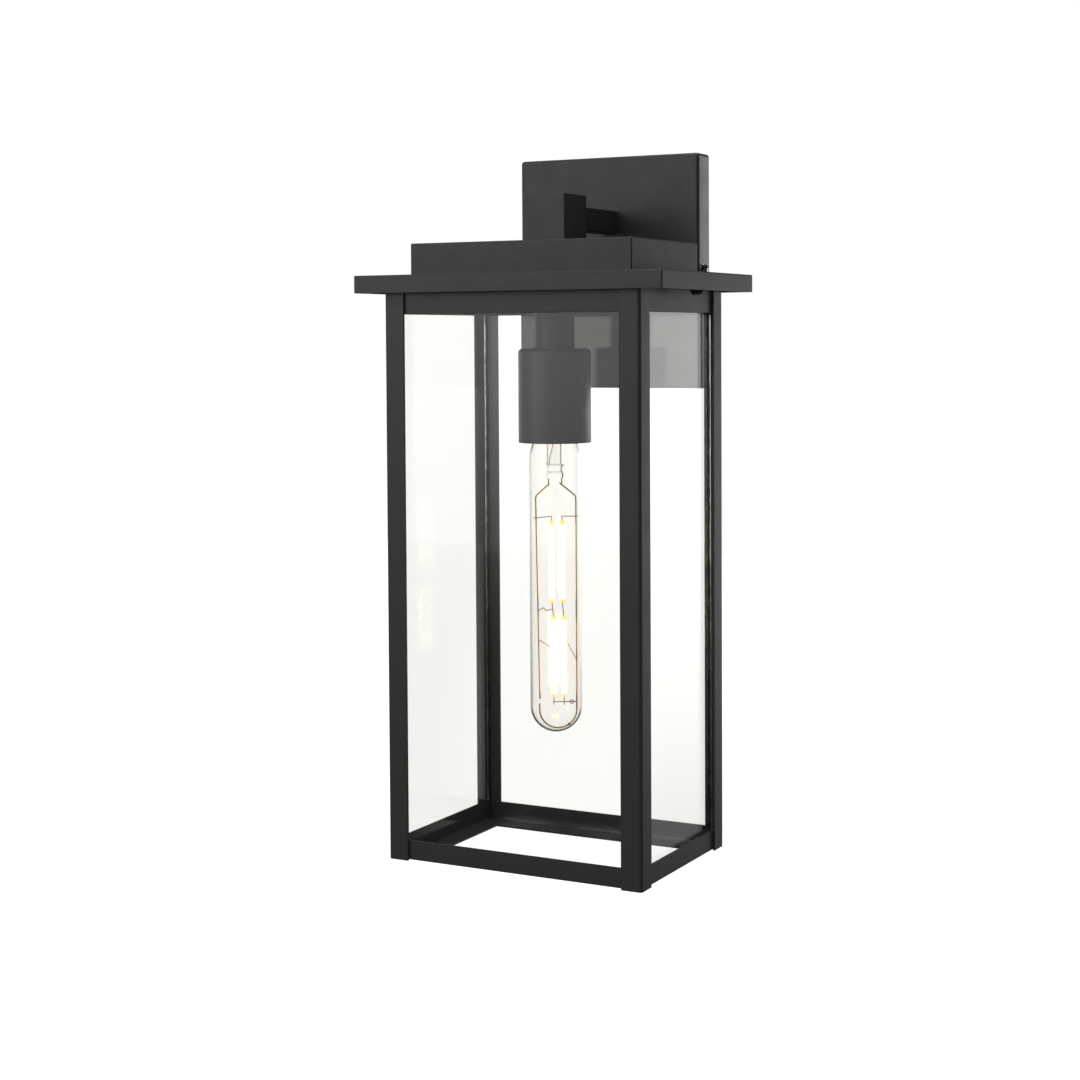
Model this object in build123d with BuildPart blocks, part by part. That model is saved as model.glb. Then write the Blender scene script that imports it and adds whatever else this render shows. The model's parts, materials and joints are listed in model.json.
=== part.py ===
from build123d import *
import os
from math import cos, radians, sin

# Outdoor wall lantern, in millimetres. The origin lies on the wall, at the middle of the wall plate.
# +Z is up, -Y points away from the wall to the front, +X is to the right of someone facing the lantern.

# Wall plate, a folded pan of steel sheet over the junction box
plate_width = 120.0
plate_height = 140.0
plate_depth = 16.0
plate_sheet = 1.2
plate_corner = 2.0
plate_inner_corner = 0.8
plate_edge_round = 1.8

# Mounting bracket, a strip on the wall with two tabs that the plate slips over
bracket_sheet = 1.6
bracket_height = 30.0
bracket_side_gap = 0.4
bracket_bend = 1.0
tab_depth = 13.6
tab_height = 18.0
box_slot_centre = 39.7
box_slot_length = 14.4
box_slot_width = 4.8
wire_hole_diameter = 18.0
ground_screw_x = 20.0
ground_screw_z = 8.5
ground_thread = 4.0
ground_head = 8.0
ground_head_height = 2.4

# Screws in the sides of the plate, with domed thumb heads
side_screw_thread = 4.0
side_screw_setback = 10.0
side_screw_grip = 2.4
side_head_diameter = 7.6
side_head_height = 3.0
side_head_dome = 1.8
side_washer_diameter = 8.4
side_washer_thickness = 0.5

# Arm, a tube between the wall plate and the hanger post
arm_width = 12.0
arm_height = 14.0
arm_wall = 1.2
arm_corner = 0.8
arm_z = 30.3
weld_gap = 0.05

# Hanger post, a square tube that stands on the roof
post_size = 27.6
post_wall = 1.5
post_base = 3.0
post_corner = 0.8
post_height = 28.0
post_above_arm = 5.7

# Roof: a crown box on a wider pan with a shallow skirt
roof_sheet = 1.2
roof_corner = 0.8
roof_inner_corner = 0.4
roof_edge_round = 0.7
crown_height = 18.4
crown_side_step = 26.7
crown_front_step = 18.7
pan_side_overhang = 16.3
pan_front_overhang = 6.9
pan_skirt = 10.1
roof_plate_gap = 6.0

# Studs under the roof, the thumb nuts that hold the cage up, and their washers
stud_thread = 4.0
stud_length = 7.8
nut_diameter = 8.0
nut_height = 9.7
nut_bore_depth = 6.6
nut_dome = 2.2
nut_washer_diameter = 9.0
nut_washer_thickness = 0.6

# Cage of steel angles
cage_width = 161.4
cage_depth = 112.2
cage_drop = 326.0
angle_leg = 12.7
angle_thickness = 1.5
angle_corner = 1.8
rail_sheet = 1.2
top_rail_show = 12.05
bottom_rail_height = 11.3
bottom_flange = 18.4
foot_step = 0.6
top_plate_sheet = 1.2
top_plate_flange = 20.0
ear_width = 20.0
ear_margin = 4.8
ear_skirt_gap = 2.0

# Glass panes and the clear silicone that holds them in the corners
glass_thickness = 3.0
glass_setback = 1.5
glass_end_gap = 0.3
glass_top_gap = 1.0
bead_radius = 2.2
bead_top_gap = 3.0

# Lamp stem, cup and lampholder, clamped under the roof by one hollow threaded nipple
nipple_diameter = 10.0
nipple_bore = 7.4
nipple_thread_in = 1.6
stem_diameter = 23.2
stem_wall = 1.4
cup_below_roof = 32.0
cup_diameter = 42.0
cup_height = 54.3
cup_wall = 1.0
cup_round = 2.6
lock_washer_diameter = 15.0
lock_washer_thickness = 1.0
locknut_flats = 14.0
locknut_height = 4.0
bridge_length = 30.0
bridge_width = 15.0
bridge_thickness = 1.6
holder_diameter = 37.0
holder_neck_diameter = 34.0
holder_neck_height = 9.0
holder_height = 36.0
holder_ceiling = 4.0
holder_round = 1.0
holder_screw_x = 9.5
holder_screw_thread = 3.0
holder_screw_head = 5.2
holder_screw_head_height = 1.2
shell_wall = 0.4
shell_top_gap = 2.8
shell_length = 24.0
contact_width = 6.0
contact_sheet = 0.5
contact_drop = 2.5
contact_reach = 4.6

# Bulb with an E26 cap and a clear tube
bulb_length = 208.0
bulb_diameter = 30.0
bulb_wall = 0.9
bulb_turned = 27.7
tip_diameter = 9.6
tip_height = 1.6
insulator_height = 3.4
insulator_waist = 12.6
cap_diameter = 26.4
cap_wall = 0.4
cap_length = 21.0
neck_diameter = 25.2
neck_in_cap = 7.0
neck_below_cap = 10.4
shoulder_length = 11.3
flare_height = 10.0
flute_diameter = 10.4
flute_wall = 0.9
flute_length = 33.4
press_neck_diameter = 9.0
press_neck_drop = 1.6
press_bead_diameter = 10.8
press_bead_height = 3.6
press_length = 8.1

# Wires and filaments in the bulb, measured across from its axis and down from its tip
wire_radius = 0.4
lead_radius = 0.25
lead_gap = 0.05
filament_radius = 1.5
inner_lead_x = 3.3
inner_lead_top_x = 1.3
inner_lead_bend = 42.0
inner_lead_slant = 8.0
press_wire_x = 3.8
press_wire_end = 64.9
left_support_top = 64.0
right_spur_x = 2.5
right_spur_top = 63.2
support_x = 11.4
support_start = 70.9
support_bend = 3.0
support_foot_x = 9.5
support_end_gap = 19.0
loop_radius = 10.8
loop_middle_x = 1.1
loop_end_gap = 1.9
loop_rise = 3.6
weld_radius = 0.9
weld_angle = 36.0
cross_wire_overhang = 1.6
left_cross_drop = 1.1
tie_kink = 1.8
tie_kink_x = 7.1
tie_kink_step = 1.4
thin_bend = 0.5
left_brace_place = 13.8
left_brace_drop = 4.5
right_brace_place = 15.3
right_brace_drop = 10.8
ring_x = 9.0
ring_radius = 1.05
upper_filament_top = 85.2
filament_space = 7.7
filament_end_gap = 19.9
filament_x = 3.0
upper_filament_shift = 0.8
lower_filament_shift = 1.6
filament_pin = 2.6
filament_pin_tail = 1.8

# Fits
thread_clearance = 0.05
hole_clearance = 0.25
cap_clearance = 0.3
holder_fit = 0.1

# Heights that follow from the arm
arm_top = arm_z + arm_height / 2
post_top = arm_top + post_above_arm
crown_top = post_top - post_height
pan_top = crown_top - crown_height
pan_ceiling = pan_top - roof_sheet
pan_bottom = pan_top - pan_skirt

# Roof and studs, outwards from the cage below them, and how far they stand from the wall
pan_width = cage_width + 2 * pan_side_overhang
pan_depth = cage_depth + 2 * pan_front_overhang
lantern_reach = plate_depth + roof_plate_gap + pan_depth / 2
crown_width = pan_width - 2 * crown_side_step
crown_depth = pan_depth - 2 * crown_front_step
ear_end = pan_width / 2 - roof_sheet - ear_skirt_gap
stud_x = ear_end - ear_margin

# The lampholder's cavity, round the shell and the bulb's cap
holder_cavity = cap_diameter + 2 * (cap_clearance + shell_wall + holder_fit)

# The lamp's stack of pieces, from the roof down
cup_top = pan_bottom - cup_below_roof
cup_ceiling = cup_top - cup_wall
locknut_top = cup_ceiling - lock_washer_thickness
bridge_top = locknut_top - locknut_height
holder_top = bridge_top - bridge_thickness
cavity_top = holder_top - holder_ceiling
bulb_tip_z = cavity_top - contact_drop - contact_sheet
bulb_foot = bulb_tip_z - bulb_length
nipple_bottom = bridge_top - nipple_thread_in

# The cage, from the roof pan's ceiling down
cage_top = pan_ceiling
frame_top = cage_top - top_plate_sheet
cage_bottom = pan_bottom - cage_drop
top_rail_bottom = pan_bottom - top_rail_show
flange_bottom = cage_bottom + foot_step
flange_top = flange_bottom + rail_sheet
half_width = cage_width / 2
half_depth = cage_depth / 2
rail_x = half_width - angle_thickness
rail_y = half_depth - angle_thickness
pane_x = rail_x - rail_sheet - glass_setback
pane_y = rail_y - rail_sheet - glass_setback
nut_seat = frame_top - nut_washer_thickness

# Planes: the wall seen from the front, the roof's centre and the middle plane of the bulb
wall = Plane.XZ
lamp_axis = Axis((0, -lantern_reach, 0), (0, 0, 1))
side_section = Plane(origin=(0, -lantern_reach, 0), x_dir=(1, 0, 0), z_dir=(0, -1, 0))
bulb_right = Vector(cos(radians(bulb_turned)), sin(radians(bulb_turned)), 0)
bulb_plane = Plane(
    origin=(0, -lantern_reach, bulb_tip_z), x_dir=bulb_right, z_dir=bulb_right.cross(Vector(0, 0, 1))
)


def level(height):
    """A flat plane over the middle of the roof, at a height above the origin."""
    return Plane(origin=(0, -lantern_reach, height))


def side_plane(side):
    """The outer face of one side of the wall plate at its screw, looking outwards."""
    middle = (side * plate_width / 2, -side_screw_setback, 0)
    return Plane(origin=middle, x_dir=(0, 1, 0), z_dir=(side, 0, 0))


def wire_between(start, end):
    """The plane and the length of a straight wire between two points of the bulb's middle plane."""
    first = bulb_plane.from_local_coords(Vector(*start, 0))
    last = bulb_plane.from_local_coords(Vector(*end, 0))
    return Plane(origin=first, z_dir=last - first), (last - first).length


os.makedirs("parts", exist_ok=True)

# Mounting bracket
with BuildPart() as mounting_bracket:
    bracket_length = plate_width - 2 * plate_sheet - 2 * bracket_side_gap
    with BuildSketch(Plane.XY.offset(-tab_height / 2)):
        Rectangle(bracket_length, tab_depth, align=(Align.CENTER, Align.MAX))
        with Locations((0, -bracket_sheet)):
            Rectangle(
                bracket_length - 2 * bracket_sheet,
                tab_depth,
                align=(Align.CENTER, Align.MAX),
                mode=Mode.SUBTRACT,
            )
    extrude(amount=tab_height)
    with BuildSketch(wall):
        RectangleRounded(bracket_length - 2 * bracket_sheet, bracket_height, bracket_bend)
    extrude(amount=bracket_sheet)
    outer_bends = mounting_bracket.edges().filter_by(Axis.Z).filter_by_position(Axis.Y, -0.01, 0.01)
    fillet(outer_bends.group_by(Axis.X)[0] + outer_bends.group_by(Axis.X)[-1], bracket_bend)
    with BuildSketch(wall):
        with Locations((-box_slot_centre, 0), (box_slot_centre, 0)):
            SlotOverall(box_slot_length, box_slot_width)
        Circle(wire_hole_diameter / 2)
        with Locations((ground_screw_x, ground_screw_z)):
            Circle(ground_thread / 2 + thread_clearance)
    extrude(amount=bracket_sheet, mode=Mode.SUBTRACT)
    with BuildSketch(Plane.YZ):
        with Locations((-side_screw_setback, 0)):
            Circle(side_screw_thread / 2 + thread_clearance)
    extrude(amount=plate_width, both=True, mode=Mode.SUBTRACT)
mounting_bracket.part.label = "mounting_bracket"
export_step(mounting_bracket.part, "parts/mounting_bracket.step")

# Ground screw, in the bracket's front
with BuildPart() as ground_screw:
    with BuildSketch(wall):
        with Locations((ground_screw_x, ground_screw_z)):
            Circle(ground_thread / 2)
    extrude(amount=bracket_sheet)
    with BuildSketch(wall.offset(bracket_sheet)):
        with Locations((ground_screw_x, ground_screw_z)):
            RegularPolygon(ground_head / 2, 6)
    extrude(amount=ground_head_height)
    fillet(ground_screw.faces().sort_by(Axis.Y)[0].edges(), ground_head_height / 6)
ground_screw.part.label = "ground_screw"
export_step(ground_screw.part, "parts/ground_screw.step")

# Wall plate
with BuildPart() as wall_plate:
    with BuildSketch(wall):
        RectangleRounded(plate_width, plate_height, plate_corner)
    extrude(amount=plate_depth)
    fillet(wall_plate.faces().sort_by(Axis.Y)[0].edges(), plate_edge_round)
    with BuildSketch(wall):
        RectangleRounded(
            plate_width - 2 * plate_sheet, plate_height - 2 * plate_sheet, plate_inner_corner
        )
    extrude(amount=plate_depth - plate_sheet, mode=Mode.SUBTRACT)
    with BuildSketch(wall.offset(plate_depth - plate_sheet)):
        with Locations((0, arm_z)):
            RectangleRounded(arm_width + 2 * weld_gap, arm_height + 2 * weld_gap, arm_corner)
    extrude(amount=plate_sheet, mode=Mode.SUBTRACT)
    with BuildSketch(Plane.YZ):
        with Locations((-side_screw_setback, 0)):
            Circle(side_screw_thread / 2 + hole_clearance)
    extrude(amount=plate_width, both=True, mode=Mode.SUBTRACT)
wall_plate.part.label = "wall_plate"
export_step(wall_plate.part, "parts/wall_plate.step")

# Side screws and their washers, one on each side of the plate
for side, hand in ((-1, "left"), (1, "right")):
    with BuildPart() as side_washer:
        with BuildSketch(side_plane(side)):
            Circle(side_washer_diameter / 2)
            Circle(side_screw_thread / 2 + hole_clearance, mode=Mode.SUBTRACT)
        extrude(amount=side_washer_thickness)
    side_washer.part.label = f"side_washer_{hand}"
    export_step(side_washer.part, f"parts/side_washer_{hand}.step")

    with BuildPart() as side_screw:
        with BuildSketch(side_plane(side).offset(side_washer_thickness)):
            Circle(side_head_diameter / 2)
        extrude(amount=side_head_height)
        fillet(side_screw.edges().sort_by(Axis.X)[0 if side < 0 else -1], side_head_dome)
        with BuildSketch(side_plane(side).offset(side_washer_thickness)):
            Circle(side_screw_thread / 2)
        extrude(
            amount=-side_washer_thickness
            - plate_sheet
            - bracket_side_gap
            - bracket_sheet
            - side_screw_grip
        )
    side_screw.part.label = f"side_screw_{hand}"
    export_step(side_screw.part, f"parts/side_screw_{hand}.step")

# Arm, welded into the plate and into the post
with BuildPart() as arm:
    with BuildSketch(wall.offset(plate_depth - plate_sheet)):
        with Locations((0, arm_z)):
            RectangleRounded(arm_width, arm_height, arm_corner)
            Rectangle(arm_width - 2 * arm_wall, arm_height - 2 * arm_wall, mode=Mode.SUBTRACT)
    extrude(amount=lantern_reach - post_size / 2 + post_wall - plate_depth + plate_sheet)
arm.part.label = "arm"
export_step(arm.part, "parts/arm.step")

# Hanger post, closed on top, with a thick base that takes the nipple
with BuildPart() as hanger_post:
    with BuildSketch(level(crown_top)):
        RectangleRounded(post_size, post_size, post_corner)
    extrude(amount=post_height)
    fillet(hanger_post.faces().sort_by(Axis.Z)[-1].edges(), post_corner)
    with BuildSketch(level(crown_top + post_base)):
        Rectangle(post_size - 2 * post_wall, post_size - 2 * post_wall)
    extrude(amount=post_height - post_base - post_wall, mode=Mode.SUBTRACT)
    with BuildSketch(wall.offset(lantern_reach - post_size / 2)):
        with Locations((0, arm_z)):
            RectangleRounded(arm_width + 2 * weld_gap, arm_height + 2 * weld_gap, arm_corner)
    extrude(amount=post_wall, mode=Mode.SUBTRACT)
    with BuildSketch(level(crown_top)):
        Circle(nipple_diameter / 2 + thread_clearance)
    extrude(amount=post_base, mode=Mode.SUBTRACT)
hanger_post.part.label = "hanger_post"
export_step(hanger_post.part, "parts/hanger_post.step")

# Crown, a box of sheet with an open underside
with BuildPart() as roof_crown:
    with BuildSketch(level(pan_top)):
        RectangleRounded(crown_width, crown_depth, roof_corner)
    extrude(amount=crown_height)
    fillet(roof_crown.faces().sort_by(Axis.Z)[-1].edges(), roof_edge_round)
    with BuildSketch(level(pan_top)):
        RectangleRounded(crown_width - 2 * roof_sheet, crown_depth - 2 * roof_sheet, roof_inner_corner)
    extrude(amount=crown_height - roof_sheet, mode=Mode.SUBTRACT)
    with BuildSketch(level(crown_top - roof_sheet)):
        Circle(nipple_diameter / 2 + hole_clearance)
    extrude(amount=roof_sheet, mode=Mode.SUBTRACT)
roof_crown.part.label = "roof_crown"
export_step(roof_crown.part, "parts/roof_crown.step")

# Roof pan, with its skirt turned down
with BuildPart() as roof_pan:
    with BuildSketch(level(pan_bottom)):
        RectangleRounded(pan_width, pan_depth, roof_corner)
    extrude(amount=pan_skirt)
    fillet(roof_pan.faces().sort_by(Axis.Z)[-1].edges(), roof_edge_round)
    with BuildSketch(level(pan_bottom)):
        RectangleRounded(pan_width - 2 * roof_sheet, pan_depth - 2 * roof_sheet, roof_inner_corner)
    extrude(amount=pan_skirt - roof_sheet, mode=Mode.SUBTRACT)
    with BuildSketch(level(pan_ceiling)):
        Circle(nipple_diameter / 2 + hole_clearance)
    extrude(amount=roof_sheet, mode=Mode.SUBTRACT)
roof_pan.part.label = "roof_pan"
export_step(roof_pan.part, "parts/roof_pan.step")

# Studs, welded under the pan beside the cage
with BuildPart() as roof_studs:
    with BuildSketch(level(pan_ceiling)):
        with Locations((-stud_x, 0), (stud_x, 0)):
            Circle(stud_thread / 2)
    extrude(amount=-stud_length)
roof_studs.part.label = "roof_studs"
export_step(roof_studs.part, "parts/roof_studs.step")

# Thumb nuts and their washers, one under each ear of the cage
for side, hand in ((-1, "left"), (1, "right")):
    with BuildPart() as nut_washer:
        with BuildSketch(level(nut_seat)):
            with Locations((side * stud_x, 0)):
                Circle(nut_washer_diameter / 2)
                Circle(stud_thread / 2 + hole_clearance, mode=Mode.SUBTRACT)
        extrude(amount=nut_washer_thickness)
    nut_washer.part.label = f"nut_washer_{hand}"
    export_step(nut_washer.part, f"parts/nut_washer_{hand}.step")

    with BuildPart() as roof_nut:
        with BuildSketch(level(nut_seat)):
            with Locations((side * stud_x, 0)):
                Circle(nut_diameter / 2)
        extrude(amount=-nut_height)
        fillet(roof_nut.edges().sort_by(Axis.Z)[0], nut_dome)
        with BuildSketch(level(nut_seat)):
            with Locations((side * stud_x, 0)):
                Circle(stud_thread / 2 + thread_clearance)
        extrude(amount=-nut_bore_depth, mode=Mode.SUBTRACT)
    roof_nut.part.label = f"roof_nut_{hand}"
    export_step(roof_nut.part, f"parts/roof_nut_{hand}.step")

# Top plate of the cage, a ring with an ear for each stud
with BuildPart() as cage_top_plate:
    with BuildSketch(level(frame_top)):
        RectangleRounded(cage_width, cage_depth, angle_corner)
        Rectangle(2 * ear_end, ear_width)
        Rectangle(
            cage_width - 2 * top_plate_flange, cage_depth - 2 * top_plate_flange, mode=Mode.SUBTRACT
        )
        with Locations((-stud_x, 0), (stud_x, 0)):
            Circle(stud_thread / 2 + hole_clearance, mode=Mode.SUBTRACT)
    extrude(amount=top_plate_sheet)
cage_top_plate.part.label = "cage_top_plate"
export_step(cage_top_plate.part, "parts/cage_top_plate.step")

# Corner posts, angles with their legs along the faces of the cage
for across, along, place in (
    (-1, -1, "front_left"),
    (1, -1, "front_right"),
    (-1, 1, "back_left"),
    (1, 1, "back_right"),
):
    with BuildPart() as corner_post:
        with BuildSketch(level(cage_bottom)):
            with Locations((across * (half_width - angle_leg / 2), along * (half_depth - angle_leg / 2))):
                Rectangle(angle_leg, angle_leg)
            inner_middle_x = across * (half_width - angle_thickness - angle_leg / 2)
            inner_middle_y = along * (half_depth - angle_thickness - angle_leg / 2)
            with Locations((inner_middle_x, inner_middle_y)):
                Rectangle(angle_leg, angle_leg, mode=Mode.SUBTRACT)
        extrude(amount=frame_top - cage_bottom)
        outer_corner = (across * half_width, along * half_depth - lantern_reach, cage_bottom)
        fillet(corner_post.edges().filter_by(Axis.Z).sort_by_distance(outer_corner)[0], angle_corner)
    corner_post.part.label = f"corner_post_{place}"
    export_step(corner_post.part, f"parts/corner_post_{place}.step")

# Rails and panes on the front and the back, which run the full width between the posts
for along, place in ((-1, "front"), (1, "back")):
    with BuildPart() as top_rail:
        with BuildSketch(level(top_rail_bottom)):
            with Locations((0, along * (rail_y - rail_sheet / 2))):
                Rectangle(2 * rail_x, rail_sheet)
        extrude(amount=frame_top - top_rail_bottom)
    top_rail.part.label = f"top_rail_{place}"
    export_step(top_rail.part, f"parts/top_rail_{place}.step")

    with BuildPart() as bottom_rail:
        with BuildSketch(level(flange_bottom)):
            with Locations((0, along * (rail_y - bottom_flange / 2))):
                Rectangle(2 * rail_x, bottom_flange)
        extrude(amount=rail_sheet)
        with BuildSketch(level(flange_bottom)):
            with Locations((0, along * (rail_y - rail_sheet / 2))):
                Rectangle(2 * rail_x, rail_sheet)
        extrude(amount=bottom_rail_height)
    bottom_rail.part.label = f"bottom_rail_{place}"
    export_step(bottom_rail.part, f"parts/bottom_rail_{place}.step")

    with BuildPart() as glass:
        with BuildSketch(level(flange_top)):
            with Locations((0, along * (pane_y - glass_thickness / 2))):
                Rectangle(2 * pane_x, glass_thickness)
        extrude(amount=frame_top - glass_top_gap - flange_top)
    glass.part.label = f"glass_{place}"
    export_step(glass.part, f"parts/glass_{place}.step")

# Rails and panes on the left and the right, which fit between those of the front and the back
for across, place in ((-1, "left"), (1, "right")):
    with BuildPart() as top_rail:
        with BuildSketch(level(top_rail_bottom)):
            with Locations((across * (rail_x - rail_sheet / 2), 0)):
                Rectangle(rail_sheet, 2 * (rail_y - rail_sheet))
        extrude(amount=frame_top - top_rail_bottom)
    top_rail.part.label = f"top_rail_{place}"
    export_step(top_rail.part, f"parts/top_rail_{place}.step")

    with BuildPart() as bottom_rail:
        with BuildSketch(level(flange_bottom)):
            with Locations((across * (rail_x - bottom_flange / 2), 0)):
                Rectangle(bottom_flange, 2 * (rail_y - bottom_flange))
        extrude(amount=rail_sheet)
        with BuildSketch(level(flange_top)):
            with Locations((across * (rail_x - rail_sheet / 2), 0)):
                Rectangle(rail_sheet, 2 * (rail_y - rail_sheet))
        extrude(amount=bottom_rail_height - rail_sheet)
    bottom_rail.part.label = f"bottom_rail_{place}"
    export_step(bottom_rail.part, f"parts/bottom_rail_{place}.step")

    with BuildPart() as glass:
        with BuildSketch(level(flange_top)):
            with Locations((across * (pane_x - glass_thickness / 2), 0)):
                Rectangle(glass_thickness, 2 * (pane_y - glass_thickness - glass_end_gap))
        extrude(amount=frame_top - glass_top_gap - flange_top)
    glass.part.label = f"glass_{place}"
    export_step(glass.part, f"parts/glass_{place}.step")

# Clear silicone, a quarter round in each inner corner of the panes
with BuildPart() as corner_beads:
    for across in (-1, 1):
        for along in (-1, 1):
            bead_x = across * (pane_x - glass_thickness)
            bead_y = along * (pane_y - glass_thickness)
            with BuildSketch(level(flange_top)):
                with Locations((bead_x, bead_y)):
                    Circle(bead_radius)
                with Locations((bead_x - across * bead_radius, bead_y - along * bead_radius)):
                    Rectangle(2 * bead_radius, 2 * bead_radius, mode=Mode.INTERSECT)
            extrude(amount=frame_top - bead_top_gap - flange_top)
corner_beads.part.label = "corner_beads"
export_step(corner_beads.part, "parts/corner_beads.step")

# Hollow threaded nipple, from the post's base down into the lampholder's bridge
with BuildPart() as lamp_nipple:
    with BuildSketch(level(nipple_bottom)):
        Circle(nipple_diameter / 2)
        Circle(nipple_bore / 2, mode=Mode.SUBTRACT)
    extrude(amount=crown_top + post_base - nipple_bottom)
lamp_nipple.part.label = "lamp_nipple"
export_step(lamp_nipple.part, "parts/lamp_nipple.step")

# Stem, a tube that spaces the cup from the roof
with BuildPart() as lamp_stem:
    with BuildSketch(level(cup_top)):
        Circle(stem_diameter / 2)
        Circle(stem_diameter / 2 - stem_wall, mode=Mode.SUBTRACT)
    extrude(amount=pan_ceiling - cup_top)
lamp_stem.part.label = "lamp_stem"
export_step(lamp_stem.part, "parts/lamp_stem.step")

# Cup over the lampholder
with BuildPart() as socket_cup:
    with BuildSketch(level(cup_top)):
        Circle(cup_diameter / 2)
    extrude(amount=-cup_height)
    fillet(socket_cup.faces().sort_by(Axis.Z)[-1].edges(), cup_round)
    with BuildSketch(level(cup_ceiling)):
        Circle(cup_diameter / 2 - cup_wall)
    extrude(amount=cup_wall - cup_height, mode=Mode.SUBTRACT)
    with BuildSketch(level(cup_top)):
        Circle(nipple_diameter / 2 + hole_clearance)
    extrude(amount=-cup_wall, mode=Mode.SUBTRACT)
socket_cup.part.label = "socket_cup"
export_step(socket_cup.part, "parts/socket_cup.step")

# Lock washer and locknut inside the cup
with BuildPart() as lock_washer:
    with BuildSketch(level(locknut_top)):
        Circle(lock_washer_diameter / 2)
        Circle(nipple_diameter / 2 + hole_clearance, mode=Mode.SUBTRACT)
    extrude(amount=lock_washer_thickness)
lock_washer.part.label = "lock_washer"
export_step(lock_washer.part, "parts/lock_washer.step")

with BuildPart() as locknut:
    with BuildSketch(level(bridge_top)):
        RegularPolygon(locknut_flats / 2, 6, major_radius=False)
        Circle(nipple_diameter / 2 + thread_clearance, mode=Mode.SUBTRACT)
    extrude(amount=locknut_height)
locknut.part.label = "locknut"
export_step(locknut.part, "parts/locknut.step")

# Steel bridge that carries the lampholder on the nipple
with BuildPart() as holder_bridge:
    with BuildSketch(level(holder_top)):
        SlotOverall(bridge_length, bridge_width)
        Circle(nipple_diameter / 2 + thread_clearance, mode=Mode.SUBTRACT)
        with Locations((-holder_screw_x, 0), (holder_screw_x, 0)):
            Circle(holder_screw_thread / 2 + thread_clearance, mode=Mode.SUBTRACT)
    extrude(amount=bridge_thickness)
holder_bridge.part.label = "holder_bridge"
export_step(holder_bridge.part, "parts/holder_bridge.step")

# Lampholder body of glazed porcelain
with BuildPart() as lampholder:
    with BuildSketch(level(holder_top)):
        Circle(holder_neck_diameter / 2)
    extrude(amount=-holder_neck_height)
    with BuildSketch(level(holder_top - holder_neck_height)):
        Circle(holder_diameter / 2)
    extrude(amount=holder_neck_height - holder_height)
    rims = lampholder.edges().filter_by(GeomType.CIRCLE).group_by(Axis.Z)
    fillet(rims[0] + rims[-1], holder_round)
    with BuildSketch(level(cavity_top)):
        Circle(holder_cavity / 2)
    extrude(amount=holder_ceiling - holder_height, mode=Mode.SUBTRACT)
    with BuildSketch(level(holder_top)):
        with Locations((-holder_screw_x, 0), (holder_screw_x, 0)):
            Circle(holder_screw_thread / 2 + hole_clearance)
    extrude(amount=-holder_ceiling, mode=Mode.SUBTRACT)
lampholder.part.label = "lampholder"
export_step(lampholder.part, "parts/lampholder.step")

# Screws that hold the porcelain to the bridge, with their heads in the cavity
with BuildPart() as holder_screws:
    for side in (-1, 1):
        with BuildSketch(level(bridge_top)):
            with Locations((side * holder_screw_x, 0)):
                Circle(holder_screw_thread / 2)
        extrude(amount=-bridge_thickness - holder_ceiling)
        with BuildSketch(level(cavity_top)):
            with Locations((side * holder_screw_x, 0)):
                Circle(holder_screw_head / 2)
        extrude(amount=-holder_screw_head_height)
holder_screws.part.label = "holder_screws"
export_step(holder_screws.part, "parts/holder_screws.step")

# Screw shell that the bulb's cap turns in
with BuildPart() as screw_shell:
    with BuildSketch(level(cavity_top - shell_top_gap)):
        Circle(holder_cavity / 2 - holder_fit)
        Circle(holder_cavity / 2 - holder_fit - shell_wall, mode=Mode.SUBTRACT)
    extrude(amount=-shell_length)
screw_shell.part.label = "screw_shell"
export_step(screw_shell.part, "parts/screw_shell.step")

# Centre contact, a bent leaf that presses on the bulb's tip
with BuildPart() as centre_contact:
    with BuildSketch(side_section.offset(-contact_width / 2)):
        with BuildLine():
            Polyline(
                (-contact_reach, cavity_top),
                (contact_reach, cavity_top),
                (contact_reach, cavity_top - contact_sheet),
                (contact_sheet - contact_reach, cavity_top - contact_sheet),
                (contact_sheet - contact_reach, cavity_top - contact_drop),
                (contact_reach, cavity_top - contact_drop),
                (contact_reach, bulb_tip_z),
                (-contact_reach, bulb_tip_z),
                close=True,
            )
        make_face()
    extrude(amount=contact_width)
centre_contact.part.label = "centre_contact"
export_step(centre_contact.part, "parts/centre_contact.step")

# Heights of the bulb's own pieces
cap_top = bulb_tip_z - tip_height - insulator_height
cap_bottom = cap_top - cap_length
neck_top = cap_bottom + neck_in_cap
neck_bottom = cap_bottom - neck_below_cap
tube_top = neck_bottom - shoulder_length
tube_end = bulb_foot + bulb_diameter / 2

# Bulb's tip contact
with BuildPart() as bulb_tip:
    with BuildSketch(level(bulb_tip_z)):
        Circle(tip_diameter / 2)
    extrude(amount=-tip_height)
    fillet(bulb_tip.edges().sort_by(Axis.Z)[-1], tip_height / 2)
bulb_tip.part.label = "bulb_tip"
export_step(bulb_tip.part, "parts/bulb_tip.step")

# Glass insulator between the tip and the cap
with BuildPart() as bulb_insulator:
    with BuildSketch(side_section):
        with BuildLine():
            Polyline(
                (0, bulb_tip_z - tip_height),
                (insulator_waist / 2, bulb_tip_z - tip_height),
                (cap_diameter / 2 - cap_wall, cap_top),
                (0, cap_top),
                close=True,
            )
        make_face()
    revolve(axis=lamp_axis)
bulb_insulator.part.label = "bulb_insulator"
export_step(bulb_insulator.part, "parts/bulb_insulator.step")

# Screw cap of the bulb
with BuildPart() as bulb_cap:
    with BuildSketch(level(cap_top)):
        Circle(cap_diameter / 2)
        Circle(cap_diameter / 2 - cap_wall, mode=Mode.SUBTRACT)
    extrude(amount=-cap_length)
bulb_cap.part.label = "bulb_cap"
export_step(bulb_cap.part, "parts/bulb_cap.step")

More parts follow.
